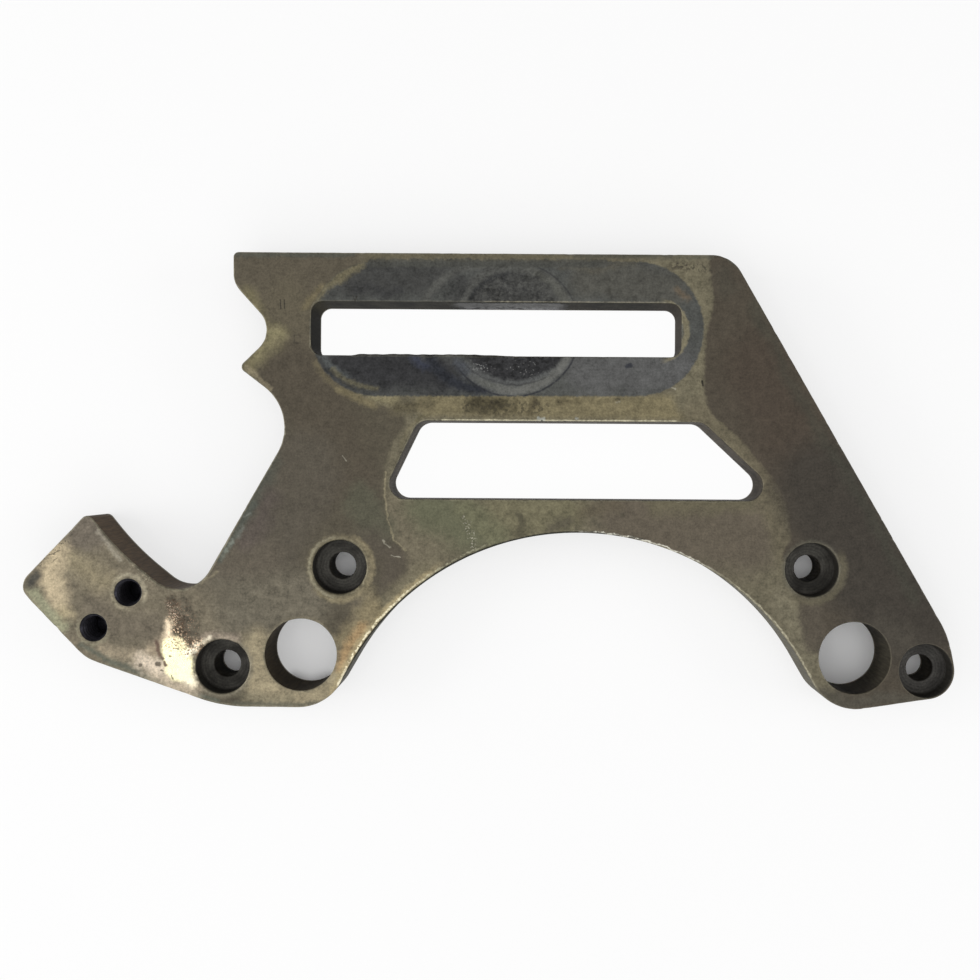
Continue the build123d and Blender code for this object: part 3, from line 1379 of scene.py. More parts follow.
@dataclass(frozen=True)
class Crescent:
    """Part of a ring that was rubbed round a centre.

    Attributes:
        centre: the ring's centre.
        radius: the radius of its middle line.
        width: how wide the rubbed band is.
        facing: the direction of the crescent's middle from the centre.
        begins: how far out along that direction the crescent begins.
        fade: how far before and after that it fades in.
    """

    centre: Point
    radius: float
    width: float
    facing: float
    begins: float
    soft: float
    patina: Patina
    strength: float = 1.0
    ragged: Ragged = Ragged.FINE
    fade: float = 2.5

    @property
    def extent(self) -> Plot:
        """Works out what the crescent can reach.

        Returns:
            The rectangle round it.
        """
        outer = self.radius + self.width / 2 + self.soft
        spread = math.acos(max(-1.0, (self.begins - self.fade) / outer))
        turns = [math.radians(self.facing) + spread * step / 8 for step in range(-8, 9)]
        x, y = self.centre
        arc = [(x + self.radius * math.cos(turn), y + self.radius * math.sin(turn)) for turn in turns]
        return plot_round(arc, self.width / 2 + reach_beyond(self.soft, self.ragged))

    def share(self, nodes: Nodes) -> Field:
        """Works out how much of the skin shows the crescent.

        Args:
            nodes: the finish's nodes.

        Returns:
            The share.
        """
        offset = nodes.vector("SUBTRACT", nodes.warp(self.ragged), (*self.centre, 0.0))
        off_line = nodes.math("ABSOLUTE", nodes.vector("LENGTH", offset) - self.radius)
        off_line = frayed(nodes, off_line, self.soft)
        band = nodes.ramp(off_line, self.width / 2 + self.soft, self.width / 2 - self.soft, self.strength)
        turn = math.radians(self.facing)
        ahead = nodes.vector("DOT_PRODUCT", offset, (math.cos(turn), math.sin(turn), 0.0))
        return band * nodes.ramp(ahead, self.begins - self.fade, self.begins + self.fade)


@dataclass(frozen=True)
class Frontier:
    """Everything on one side of a wandering line that runs up the plate.

    Attributes:
        line: x and y of its points, the lowest first.
        to_right: whether the stain lies to the right of the line.
    """

    line: Path
    to_right: bool
    soft: float
    patina: Patina
    strength: float = 1.0
    ragged: Ragged = Ragged.FINE
    span: float = 400.0

    @property
    def extent(self) -> Plot:
        """Works out what the stain can reach.

        Returns:
            The half plane, as a large rectangle.
        """
        reach, xs = reach_beyond(self.soft, self.ragged), [x for x, _ in self.line]
        left, right = (min(xs) - reach, self.span) if self.to_right else (-self.span, max(xs) + reach)
        return Plot((left, -self.span), (right, self.span))

    def share(self, nodes: Nodes) -> Field:
        """Works out how much of the skin lies beyond the line.

        Args:
            nodes: the finish's nodes.

        Returns:
            The share.
        """
        place = nodes.warp(self.ragged)
        unit = 1 / self.span
        height = nodes.vector("DOT_PRODUCT", place, (0.0, unit, 0.0)) + 0.5
        first, *_, last = self.line
        line = [(y * unit + 0.5, x * unit + 0.5) for x, y in self.line]
        line = [(0.0, first[0] * unit + 0.5), *line, (1.0, last[0] * unit + 0.5)]
        beyond = nodes.vector("DOT_PRODUCT", place, (unit, 0.0, 0.0)) + 0.5 - nodes.curve(height, line)
        beyond = frayed(nodes, beyond, self.soft, unit)
        soft = self.soft * unit * (1 if self.to_right else -1)
        return nodes.ramp(beyond, -soft, soft, self.strength)


Stain = Blot | Specks | Crescent | Frontier
Stains = tuple[Stain, ...]


class Metal:
    """A finish in the making: the skin so far, to which stains are added."""

    def __init__(self, name: str, skin: Patina, plot: Plot | None = None) -> None:
        """Starts with one patina all over.

        Args:
            name: the material's name.
            skin: the patina.
            plot: the plot that the finish is for, so that stains that don't reach it are left out.
        """
        self.nodes = Nodes(name)
        self.plot = plot
        self.colour: object = linear(skin.colour)
        self.state: object = (skin.roughness, skin.metal, skin.fret)

    def lay(self, patina: Patina, share: Field) -> None:
        """Covers a share of the skin with a patina.

        Args:
            patina: the patina.
            share: how much of it shows.
        """
        nodes = self.nodes
        state = (patina.roughness, patina.metal, patina.fret)
        self.colour = nodes.mix(nodes.COLOUR_MIX, share, self.colour, linear(patina.colour))
        self.state = nodes.mix(nodes.VECTOR_MIX, share, self.state, state)

    def stain(self, stains: Sequence[Stain], within: Field | None = None) -> None:
        """Adds stains.

        Args:
            stains: the stains, the lowest first.
            within: another share that they are kept within.
        """
        for stain in stains:
            if self.plot is None or self.plot.meets(stain.extent):
                share = stain.share(self.nodes)
                self.lay(stain.patina, share * within if within else share)

    def parts(self) -> tuple[Field, Field, Field]:
        """Takes the skin's state apart.

        Returns:
            Roughness, metal and fret.
        """
        node = self.nodes.add("ShaderNodeSeparateXYZ")
        self.nodes.feed(node.inputs[0], self.state)
        return tuple(Field(self.nodes, socket) for socket in node.outputs)

    def finish(
        self, shade: Field, relief: Field, spread: Field, depth: float, gloss: float = 0.5
    ) -> bpy.types.Material:
        """Closes the finish with its fine texture.

        Args:
            shade: multiplies the colour.
            relief: the height of the fine texture.
            spread: added to the roughness.
            depth: the relief's height in millimetres.
            gloss: the shader's specular level, which counts where the skin isn't metal.

        Returns:
            The material.
        """
        nodes = self.nodes
        roughness, metal, _ = self.parts()
        shader = nodes.add("ShaderNodeBsdfPrincipled")
        nodes.feed(shader.inputs["Base Color"], nodes.vector("SCALE", self.colour, scale=shade))
        nodes.feed(shader.inputs["Roughness"], nodes.math("MAXIMUM", roughness + spread, 0.12))
        nodes.feed(shader.inputs["Metallic"], metal)
        nodes.feed(shader.inputs["Specular IOR Level"], gloss)
        bump = nodes.add("ShaderNodeBump")
        nodes.feed(bump.inputs["Strength"], 1.0)
        nodes.feed(bump.inputs["Distance"], depth * METRES)
        nodes.feed(bump.inputs["Height"], relief)
        nodes.tree.links.new(bump.outputs["Normal"], shader.inputs["Normal"])
        output = nodes.add("ShaderNodeOutputMaterial")
        nodes.tree.links.new(shader.outputs["BSDF"], output.inputs["Surface"])
        return nodes.material


@dataclass(frozen=True)
class FrontFace:
    """The front face: oxidised skin, stained in zones and rubbed to bare grey round the slot.

    The stains of each zone are listed with the lowest first.

    Attributes:
        plots: the parts of the face that have a material each, so that each holds few stains.
        web: between the window and the arch, with the dark neck to the left.
        body: the plate's left end above the neck.
        leg: the left leg and its foot.
        arm: the arm with its two threads.
        strip: between the slot's track and the window.
        right_side: the dark side and the foot below it.
        bands: pale bands on the body.
        track: wear within the slot's track.
        washers: discs and crescents that the stud's washer left where it was clamped.
        halos: stains round the track, the window and the holes.
        polish_and_painted_light: the bright patch beside the outer bolt, polished metal with a painted
        highlight and painted glints on it; painted glints and a painted shade line along the arch's
        edge; painted highlights on the window's and the slot's top rims; and a dent's painted light
        and shade.
        marks: ticks, pits and scratches.
    """

    plots: tuple[Plot, ...] = (
        Plot((-170, -90), (-100, 90)),
        Plot((-100, -90), (-45, 20)),
        Plot((-100, 20), (-45, 90)),
        Plot((-45, -90), (70, 20)),
        Plot((-45, 20), (-18, 90)),
        Plot((-18, 20), (34, 90)),
        Plot((34, 20), (70, 90)),
        Plot((70, -90), (170, -20)),
        Plot((70, -20), (170, 90)),
    )
    skin: Patina = aged(108, 102, 84)
    edge_metal: Patina = aged(134, 129, 110)
    web_left_edge: Path = (
        (-31, -40), (-28.8, -31), (-30, -25), (-33.7, -21), (-35.8, -14), (-37, -6), (-37, 2.5),
        (-34, 14), (-30, 22), (-40, 27), (-50, 32),
    )
    dark_side_edge: Path = (
        (117, -59.3), (112.4, -55.4), (110.5, -46.6), (110, -43.4), (104, -25), (106.9, -18.8),
        (106.2, -16.6), (105.4, -9.6), (100.4, 1.6), (95.1, 7.4), (89.8, 14.0), (82.4, 20.6),
        (78.1, 24.8), (76, 31.2), (75.7, 41.8), (76, 50.2), (78.6, 65.6), (77.6, 73.0),
    )
    track_ends: Path = ((-40.0, 53.5), (51.7, 54.0))
    track_radius: float = 23.7
    washer: Point = (8.0, 53.7)
    older_washer: Point = (-3.0, 53.6)
    arch_centre: Point = (31.55, -109.6)
    arch_radius: float = 91.5
    arch_edge: float = arch_radius + 0.45
    tan: Patina = aged(116, 109, 86)
    band: Patina = aged(116, 107, 82)
    dark: Patina = oxide(52, 50, 44)
    pale: Patina = bright(168, 164, 148, 0.4)
    painted_glint_silver: Patina = bright(226, 223, 208)
    dull_silver: Patina = bright(176, 180, 174, 0.35)

    web: Stains = (
        Blot(((-31.5, -12), (-28, -28)), 9, 4, aged(112, 105, 87)),
        Blot(((-21, -9), (-7, -17.5)), 8, 5, oxide(101, 101, 80)),
        Blot(((4, -12), (25, -10)), 8, 4, aged(114, 109, 86)),
        Blot(((-8.5, -9), (3, -20)), 4, 3, aged(107, 106, 83)),
        Blot(((53, -13.5), (89, -17)), 15, 6, oxide(99, 91, 78)),
        Blot(((60, -8), (92, -6)), 4, 3, oxide(105, 99, 80)),
        Blot(((11, -12), (11.5, -19)), 1.6, 1.2, oxide(84, 80, 64), 0.9),
        Blot(((22, -16.5), (27.5, -13)), 2, 1.6, oxide(86, 81, 68), 0.8),
        Blot(((33, -10), (45, -9)), 3, 3, oxide(94, 86, 70), 0.6),
        smear(((36.5, -13.5), (39, -15.5)), 0.6, 1, oxide(80, 76, 64), 0.7),
        smear(((47, -11.5),), 0.7, 1, oxide(80, 76, 64), 0.6),
        Frontier(web_left_edge, False, 1.3, oxide(86, 80, 67)),
    )
    body: Stains = (
        Blot(((-86, 72), (-58, 74)), 13, 4, oxide(95, 88, 74)),
        Blot(((-72, 64), (-68, 47)), 7, 4, oxide(99, 92, 76)),
        smear(((-89.5, 79.4), (-49, 79.8)), 1, 0.9, oxide(84, 86, 78), 0.7),
        Blot(((-86, 64), (-80.5, 55.5), (-79.5, 48), (-86, 40)), 3, 3, aged(120, 113, 86), 0.9),
        smear(((-79, 44), (-75.5, 50.5)), 4, 2.4, aged(134, 127, 97)),
        Blot(((-70, 38), (-66, 32), (-57, 19), (-51, 3)), 11, 5, oxide(84, 77, 65)),
        smear(((-86, 39.5), (-77.5, 32)), 0.8, 0.6, aged(146, 136, 112), 0.6),
    )
    leg: Stains = (
        Blot(((-67, 3), (-80, -23)), 14, 5, oxide(88, 82, 71)),
        Blot(((-84, -28.5), (-97, -39)), 11, 5, oxide(96, 89, 77)),
        Blot(((-92, -46), (-66, -42)), 10, 5, aged(108, 102, 88)),
        Blot(((-100, -37), (-93, -41)), 3, 3, oxide(98, 92, 79), 0.9),
        Blot(((-86, -12), (-81, -3), (-76.5, 7)), 2.5, 2.5, oxide(80, 81, 72), 0.8),
        Blot(((-77, -7), (-80, -14), (-86, -22)), 3, 3, oxide(90, 81, 76), 0.6),
        smear(((-95.2, -28.8), (-89.5, -19.2), (-83, -8.3)), 1.1, 1, oxide(84, 87, 79), 0.8),
        smear(((-92.8, -25.4), (-90.6, -21.4)), 0.5, 0.9, oxide(138, 143, 132), 0.7),
        smear(((-88.4, -20), (-86.8, -17.2)), 0.4, 1.1, oxide(124, 128, 120), 0.6),
        smear(((-86.5, -13.3), (-84.6, -12)), 0.2, 0.5, oxide(130, 132, 124), 0.5),
        smear(((-94.4, -28.6), (-93, -26)), 0.4, 0.8, oxide(118, 120, 108), 0.6),
        smear(((-101.4, -36.6), (-96, -32.6)), 0.4, 0.4, aged(134, 126, 104), 0.7),
        Blot(((-45.5, -7), (-39, -17.5)), 6, 3, oxide(88, 87, 72), 0.8),
        Blot(((-41.5, -21), (-34, -27), (-35, -36)), 4, 4, oxide(88, 81, 70), 0.9),
        Blot(((-46, -43), (-46, -50)), 2.6, 2, oxide(98, 91, 78), 0.8),
        Blot(((-36, -44), (-30, -38), (-20, -32)), 3.5, 2.5, aged(120, 113, 92), 0.9),
        Blot(((-44, -38), (-41, -44), (-46, -46)), 2.4, 2.4, aged(125, 116, 93), 0.9),
        Blot(((-81.5, -60), (-80, -74), (-63, -77.5), (-50.5, -70.5)), 6, 4, aged(154, 143, 117)),
        Blot(((-50.5, -57.5), (-41, -45.5)), 3.5, 2.5, aged(134, 123, 96), 0.9),
        # Orange-tan glow beside the arch's left edge: painted highlight
        smear(((-52.5, -66), (-49.5, -59), (-44.5, -52)), 1.8, 1.6, aged(176, 148, 108), 0.8),
        Blot(((-96, -72), (-84, -76.5), (-70, -78.5)), 1.8, 2, aged(120, 114, 94), 0.6),
        smear(((-90, -78.9), (-70, -79.6), (-57, -78.6)), 0.7, 0.8, oxide(96, 95, 82), 0.8),
    )
    arm: Stains = (
        Blot(((-148, -39.5), (-119.5, -57)), 26, 6, aged(117, 109, 92)),
        Blot(((-144, -19), (-136, -17.5)), 7, 4, aged(110, 102, 90)),
        Blot(((-147, -30), (-136, -37)), 3.5, 4, aged(142, 132, 107), 0.9),
        # Cream band near the arm's tip: lighter polished skin, partly a painted highlight
        Blot(((-152, -25.5), (-155.5, -35), (-152, -42)), 3.2, 3.2, aged(186, 171, 142)),
        Blot(((-150.5, -47),), 3, 2.5, aged(174, 161, 130), 0.8),
        Blot(((-160.5, -41.5), (-156, -47.5), (-151, -52)), 2.4, 2, aged(158, 158, 130), 0.8),
        Blot(((-139, -45), (-131.5, -51.5), (-118, -53.5)), 5, 4, aged(108, 100, 86), 0.9),
        Blot(((-136, -60.5), (-128, -62.5), (-121, -63)), 2.2, 2.2, aged(164, 151, 128), 0.7),
        Blot(((-133.5, -65), (-117.5, -69.5)), 2.2, 1.8, aged(118, 113, 96), 0.7),
        smear(((-162, -37.2), (-159.8, -34.4)), 1.5, 1.6, oxide(70, 69, 64), 0.9),
        smear(((-138.2, -18.8), (-130.3, -28.6)), 0.5, 1.1, aged(168, 162, 146), 0.65),
        # Grey-green band along the arm's lower edge: painted shade of its rounding
        smear(
            ((-144, -58.6), (-132.8, -64.8), (-118.8, -70.2), (-104.7, -75.4), (-96, -78.2)),
            0.9, 0.9, oxide(98, 100, 88), 0.85,
        ),
    )
    right_side: Stains = (
        smear(((72, 30), (78, 48), (74, 66), (62, 77)), 7, 2, aged(116, 110, 90)),
        smear(((74, 24), (97, 1), (105, -16), (108, -27)), 6, 2.5, aged(108, 101, 82), 0.9),
        Frontier(dark_side_edge, True, 0.9, oxide(81, 74, 63)),
        Blot(((96, 40), (110, 10)), 13, 8, oxide(77, 68, 58)),
        Blot(((118, -2), (132, -30), (150, -48)), 17, 8, oxide(66, 61, 54)),
        Blot(((93, 62), (98.7, 51), (113, 24), (133, -8), (150, -40)), 2, 2.4, oxide(70, 70, 60), 0.5),
        Blot(((82, 74), (84, 68)), 3.5, 3, oxide(76, 72, 62), 0.7),
        smear(((84, 79.2), (90.5, 74), (97.5, 62)), 0.5, 0.9, oxide(96, 97, 86), 0.8),
        smear(((66, 79.2), (78, 79.4)), 0.4, 0.8, oxide(92, 92, 80), 0.7),
        Blot(((104, -41.5), (108, -50), (113, -62)), 4, 2, aged(118, 112, 93)),
        Blot(((140, -50), (147, -56)), 4, 4, oxide(80, 75, 66), 0.8),
        smear(((113.5, -46), (115.5, -56)), 4.2, 1.4, oxide(88, 81, 70), 0.9),
        Blot(((118, -75), (126, -77.5), (156, -75.5)), 2.5, 2.5, oxide(84, 80, 70), 0.9),
    )
    strip: Stains = (
        smear(((-22, 27.2), (72, 26.2)), 4.2, 1.8, aged(124, 115, 88)),
        smear(((-41, 29.4), (-34, 28.4)), 1.9, 1.5, aged(136, 128, 100), 0.9),
        smear(((-33, 25.5), (-22, 27)), 2.2, 2.4, oxide(94, 87, 67, 0.5), 0.9),
        smear(((-5.5, 27.4), (4, 26.8)), 3, 2.4, oxide(74, 68, 50, 0.9)),
        smear(((-8, 25.4), (-2, 25)), 1.4, 1.6, oxide(78, 72, 55, 0.6), 0.6),
        smear(((9.6, 28.4), (8.6, 25)), 0.9, 1.5, oxide(80, 73, 54, 0.9), 0.8),
        smear(((15.8, 28.4), (14.6, 25.2)), 1.2, 1.4, oxide(78, 71, 53, 0.9), 0.9),
        smear(((24.7, 28), (31, 28.6)), 1, 1.6, oxide(86, 78, 58, 0.9), 0.7),
        Specks(smear(((-8, 26), (19, 26)), 2.6, 1.4, oxide(62, 57, 45), 0.6), 1.4, 0.55),
        smear(((-24.5, 22.6), (-28, 15.5), (-33.4, 4.5)), 0.5, 0.6, oxide(78, 74, 58), 0.8),
    )
    bands: Stains = (
        smear(((-65.5, 61), (-62, 65.5), (-59.4, 68.4)), 1, 1.4, band, 0.9),
        smear(((-61.5, 41.5), (-58.8, 36.6), (-54, 32.2)), 0.9, 1.1, band, 0.5),
        smear(((-53, 32), (-48, 29.6), (-41, 26.4)), 1.3, 1.1, band, 0.9),
    )
    track: Stains = (
        Blot(((-53, 41), (-17, 37)), 7, 5, rubbed(53, 53, 54, 0.5)),
        Blot(((-50, 71), (-21, 72)), 6, 4, rubbed(70, 70, 68)),
        Blot(((-48, 68), (-32, 66)), 1.6, 2, rubbed(56, 56, 57), 0.6),
        Blot(((35, 38.7), (67, 39.6)), 8, 4, rubbed(91, 91, 90)),
        Blot(((35, 72), (63, 68)), 7, 4, rubbed(84, 83, 77)),
        Blot(((24.5, 76), (50, 76.5)), 1.2, 1.5, rubbed(92, 88, 76), 0.5),
        Blot(((-26.5, 43), (-22.5, 41)), 1.5, 2, rubbed(62, 67, 84, 0.5), 0.6),
        smear(((-63, 62.5), (-58.4, 68.4), (-52.6, 71.4)), 1.5, 1.3, tan, 0.9),
        smear(((-53.5, 72.5), (-46.6, 76.6)), 2.2, 1.2, tan, 0.95),
        smear(((-60, 45), (-56.5, 40.2), (-50.5, 36.4)), 1.1, 0.9, oxide(82, 85, 84, 0.6), 0.8),
        smear(
            ((-55.8, 39.2), (-51.5, 35.6), (-46, 33.4), (-40, 32.3)),
            0.8, 0.8, oxide(100, 95, 76, 0.6), 0.8,
        ),
        smear(((-57, 38.6), (-51.6, 34.2), (-45.6, 31.4)), 0.15, 0.25, oxide(62, 60, 52), 0.7),
        Crescent((58.9, 53.4), 10.4, 2.2, 0, 3, 0.5, aged(128, 121, 98), 0.9, Ragged.CLEAN),
        smear(((65.8, 68), (69.5, 65)), 0.9, 1.2, aged(112, 98, 80), 0.7),
    )
    washers: Stains = (
        Crescent(older_washer, 21, 4, 222, 12, 1.6, rubbed(46, 48, 53, 0.7)),
        Crescent(older_washer, 22.4, 2.4, 138, 9, 1.2, rubbed(88, 88, 84)),
        Crescent(washer, 11.6, 23.2, 60, 0, 1, rubbed(80, 80, 77, 0.4)),
        Crescent(washer, 21, 3.2, 48, 14, 1, rubbed(92, 92, 86, 0.3), 0.9),
        Crescent(washer, 11.6, 23.2, 290, 6, 1, rubbed(86, 87, 86, 0.3)),
        Crescent((8.75, 58.8), 11.5, 23, 270, 8, 1, rubbed(50, 50, 51, 0.9)),
        Crescent((6.5, 58.2), 8.5, 17, 90, 0, 2, rubbed(67, 67, 65, 0.8)),
        Crescent((6.5, 58.2), 17, 2.8, 135, 6, 1.2, rubbed(88, 88, 84, 0.4), 0.9),
        Crescent((6.5, 58.2), 15, 1.4, 128, 8, 0.9, rubbed(52, 53, 54, 0.7), 0.7),
        Blot(((-14, 64), (-10, 70)), 2.5, 2, rubbed(60, 60, 59, 0.7), 0.8),
        Blot(((9, 73), (20, 68)), 1.8, 1.6, rubbed(76, 76, 73, 0.5), 0.7),
        Blot(((-12, 42.5), (-9.5, 39)), 1.6, 1.6, rubbed(76, 79, 84, 0.5), 0.8),
        Crescent(washer, 21.4, 2.4, 272, 17, 0.8, rubbed(98, 99, 94, 0.3), 0.9),
        Crescent(washer, 21.6, 2.6, 318, 10, 0.7, rubbed(104, 104, 100, 0.2), 0.9),
        Crescent(washer, 23.8, 0.5, 292, 6, 0.3, rubbed(48, 49, 53), 0.9, Ragged.CLEAN),
        Crescent(washer, 23.5, 0.4, 45, 8, 0.3, rubbed(56, 56, 56), 0.7, Ragged.CLEAN),
        Crescent((8.75, 59.5), 25.4, 0.5, 262, 20, 0.3, rubbed(62, 62, 62), 0.6),
        Specks(Blot(((-6, 40.2), (-1, 39.6)), 1.6, 1.5, rubbed(128, 128, 126), 0.8), 0.9, 0.56),
        Specks(Blot(((8, 40.5), (16, 39.5)), 2.6, 1.5, rubbed(118, 118, 116), 0.7), 0.9, 0.62),
        Specks(Blot(((-2, 43), (22, 43)), 2.5, 1.5, rubbed(34, 34, 34), 0.8), 1.6, 0.55),
        Specks(Blot(((0, 66), (14, 68)), 7, 3, rubbed(46, 46, 46), 0.55), 1.3, 0.55),
        Specks(Blot(((2, 68), (16, 64)), 7, 3, rubbed(88, 88, 84), 0.4), 1.4, 0.55),
    )
    halos: Stains = (
        smear(((-44, 79.2), (26, 79.6)), 0.6, 0.9, oxide(101, 95, 76), 0.9),
        smear(((30, 79.6), (64, 79.8)), 0.9, 1, oxide(86, 84, 73), 0.9),
        smear(((-42, 76.8), (40, 77.1)), 1.5, 0.5, rubbed(78, 78, 73), 0.85),
        smear(((-31.5, 12), (-28.6, 18.5), (-24.5, 22.5), (-18, 24)), 0.5, 0.8, aged(124, 116, 88), 0.35),
        smear(
            ((-36.8, 3), (-37, -6), (-35.8, -14), (-33.7, -21), (-29.5, -24.5)),
            0.25, 0.3, aged(150, 141, 114), 0.7,
        ),
        smear(((-52.8, -30.7),), 11.4, 1.2, aged(119, 111, 89), 0.8),
        Crescent((-52.8, -30.7), 11.8, 1.6, 325, -2, 0.8, aged(138, 128, 102), 0.8),
        Crescent((-52.8, -30.7), 10.8, 0.8, 180, 2, 0.5, aged(150, 144, 122), 0.7),
        smear(((-94, -66.2),), 11, 1, aged(128, 121, 104), 0.7),
        smear(((114.1, -30.7),), 10.6, 0.8, oxide(96, 93, 81), 0.6),
        Crescent((114.1, -30.7), 11.2, 2.4, 315, 3, 1.2, oxide(104, 98, 80), 0.8),
        smear(((-66.3, -61.8),), 13.8, 0.8, aged(126, 118, 98), 0.4),
        Crescent((-127.5, -40.1), 5.8, 0.8, 190, 1, 0.7, aged(164, 156, 132), 0.7),
        Crescent((-127.5, -40.1), 6.2, 1.2, 50, 1, 0.7, aged(168, 160, 138), 0.7),
        Crescent((-139.6, -52.7), 5.8, 0.8, 250, 0, 0.7, aged(150, 145, 122), 0.6),
        Specks(Blot(((-125, -30), (-119, -35)), 1.5, 1.5, bright(190, 180, 155, 0.4), 0.7), 0.7, 0.56),
    )
    polish_and_painted_light: Stains = (
        # The bright patch: polished metal whose cream core and bright specks are partly painted highlight
        # and glints
        Blot(((-119, -66.5), (-112, -72), (-104.5, -74)), 2.8, 2.6, aged(200, 185, 162), 0.9),
        Blot(((-118.5, -60.5), (-114.5, -57)), 1.8, 2.6, aged(178, 162, 138), 0.8),
        Blot(((-122, -64.4), (-114, -67)), 2.8, 2.4, aged(220, 205, 184), 0.95),
        Blot(((-109.5, -43.5), (-106, -54.5)), 3.4, 1.8, oxide(93, 86, 73, 1), 0.9),
        Blot(((-100.5, -56), (-95, -55), (-89.5, -56.6)), 1, 2, aged(176, 160, 144), 0.6),
        smear(((-113, -50.6), (-113.1, -53.6), (-113, -58)), 1.2, 1.5, bright(232, 214, 184, 0.3), 0.95),
        smear(((-110.8, -60.4), (-109.2, -66.6)), 5, 1, bright(237, 229, 186, 0.28)),
        smear(((-108.4, -68.4), (-104.6, -71.6)), 1.9, 1.5, bright(236, 226, 198, 0.3)),
        smear(((-106.5, -61.6), (-103.2, -59.2)), 1.2, 0.9, bright(238, 230, 204, 0.27)),
        smear(((-103.4, -59), (-98.8, -56.2)), 0.5, 0.8, bright(236, 226, 200, 0.3), 0.9),
        Specks(
            smear(
                ((-111.8, -44), (-110.3, -49), (-108.4, -54.5), (-107.3, -57.4), (-101.6, -58.6)),
                2.4, 1.6, oxide(88, 68, 52, 0.5), 0.65,
            ),
            0.6, 0.48,
        ),
        Specks(
            smear(
                ((-111.9, -50), (-109.8, -55.5), (-107.3, -57.8), (-101.6, -58.6)),
                1.7, 2, bright(240, 208, 174, 0.32), 0.9,
            ),
            0.6, 0.55,
        ),
        Specks(Blot(((-112.6, -44), (-110.6, -48)), 1.2, 1.8, bright(226, 198, 174, 0.35), 0.85), 0.5, 0.57),
        Specks(Blot(((-108.5, -45), (-104.5, -54)), 2.2, 1.8, bright(168, 140, 116, 0.35), 0.6), 0.5, 0.62),
        Specks(
            Blot(((-112.5, -58), (-108, -60), (-103, -60)), 1.6, 1.2, aged(128, 92, 66), 0.9),
            0.5, 0.55,
        ),
        smear(((-117.3, -57.6), (-116.6, -60.6), (-115.3, -63.4)), 0.7, 0.6, oxide(100, 80, 70), 0.9),
        smear(((-117, -65.3), (-116.4, -65.3)), 0.7, 0.4, oxide(84, 76, 64), 0.9),
        smear(((-114.4, -64.9), (-114, -65.6)), 0.6, 0.3, oxide(104, 80, 72), 0.9),
        smear(((-109.5, -60),), 0.45, 0.25, aged(120, 116, 100), 0.8),
        smear(((-112.4, -62.6),), 0.35, 0.2, aged(120, 112, 84), 0.8),
        smear(((-115.8, -67.4), (-114.9, -67.5)), 0.25, 0.2, oxide(96, 90, 72), 0.8),
        smear(((-111.7, -69.5), (-111.3, -70.6)), 0.25, 0.2, oxide(80, 76, 60), 0.8),
        smear(((-122.9, -66),), 0.6, 0.3, oxide(78, 72, 60), 0.8),
        # Painted highlights: a soft glow and bright glints along the arch's rounded edge
        Crescent(arch_centre, arch_edge + 1.1, 2, 143, 88, 1, aged(180, 165, 128), 0.7),
        Specks(
            Crescent(arch_centre, arch_edge + 0.7, 0.6, 141, 90, 0.35, bright(252, 242, 208, 0.32)),
            1.3, 0.42,
        ),
        Specks(
            Crescent(arch_centre, arch_edge + 0.7, 0.5, 128, 89, 0.4, bright(196, 192, 164, 0.35), 0.6),
            0.9, 0.46,
        ),
        # Painted highlight: a bright line on the arch's left edge
        smear(((-47.6, -63.7), (-52.8, -72.2)), 0.5, 0.4, bright(252, 244, 214), 0.9),
        # Painted shade: a dark line along the arch's edge, standing in for its shaded wall
        Crescent(arch_centre, arch_edge - 0.2, 0.7, 132, 58, 0.2, oxide(38, 40, 32), 0.95, Ragged.CLEAN),
        # Painted glint along the arch's edge near its crown
        Crescent(arch_centre, arch_edge, 0.25, 74.5, 89.4, 0.3, painted_glint_silver, 1),
        Specks(smear(((34, -17.9), (54, -20.8)), 0.9, 0.6, oxide(58, 58, 50), 0.9), 1.2, 0.5),
        # Painted glint along the arch's right edge
        Crescent(arch_centre, arch_edge + 0.1, 0.2, 39, 88.5, 0.3, bright(196, 190, 166, 0.35), 0.7),
        # Painted highlight along the window's top rim
        stroke(((-17, 21.5), (66, 21.6)), 0.2, 0.25, bright(196, 190, 164), 0.8),
        # A dent's painted highlight on its lower rim and painted shade in its hollow
        smear(((44.6, 28.1), (45.8, 28.2)), 0.3, 0.3, bright(140, 136, 120, 0.4), 0.6),
        smear(((44.2, 29.2), (45.6, 29.1)), 0.35, 0.3, oxide(62, 58, 47), 0.8),
        # Painted highlight along the slot's top rim
        stroke(((-2, 63.4), (62, 63.5)), 0.12, 0.2, bright(160, 153, 132), 0.5),
    )
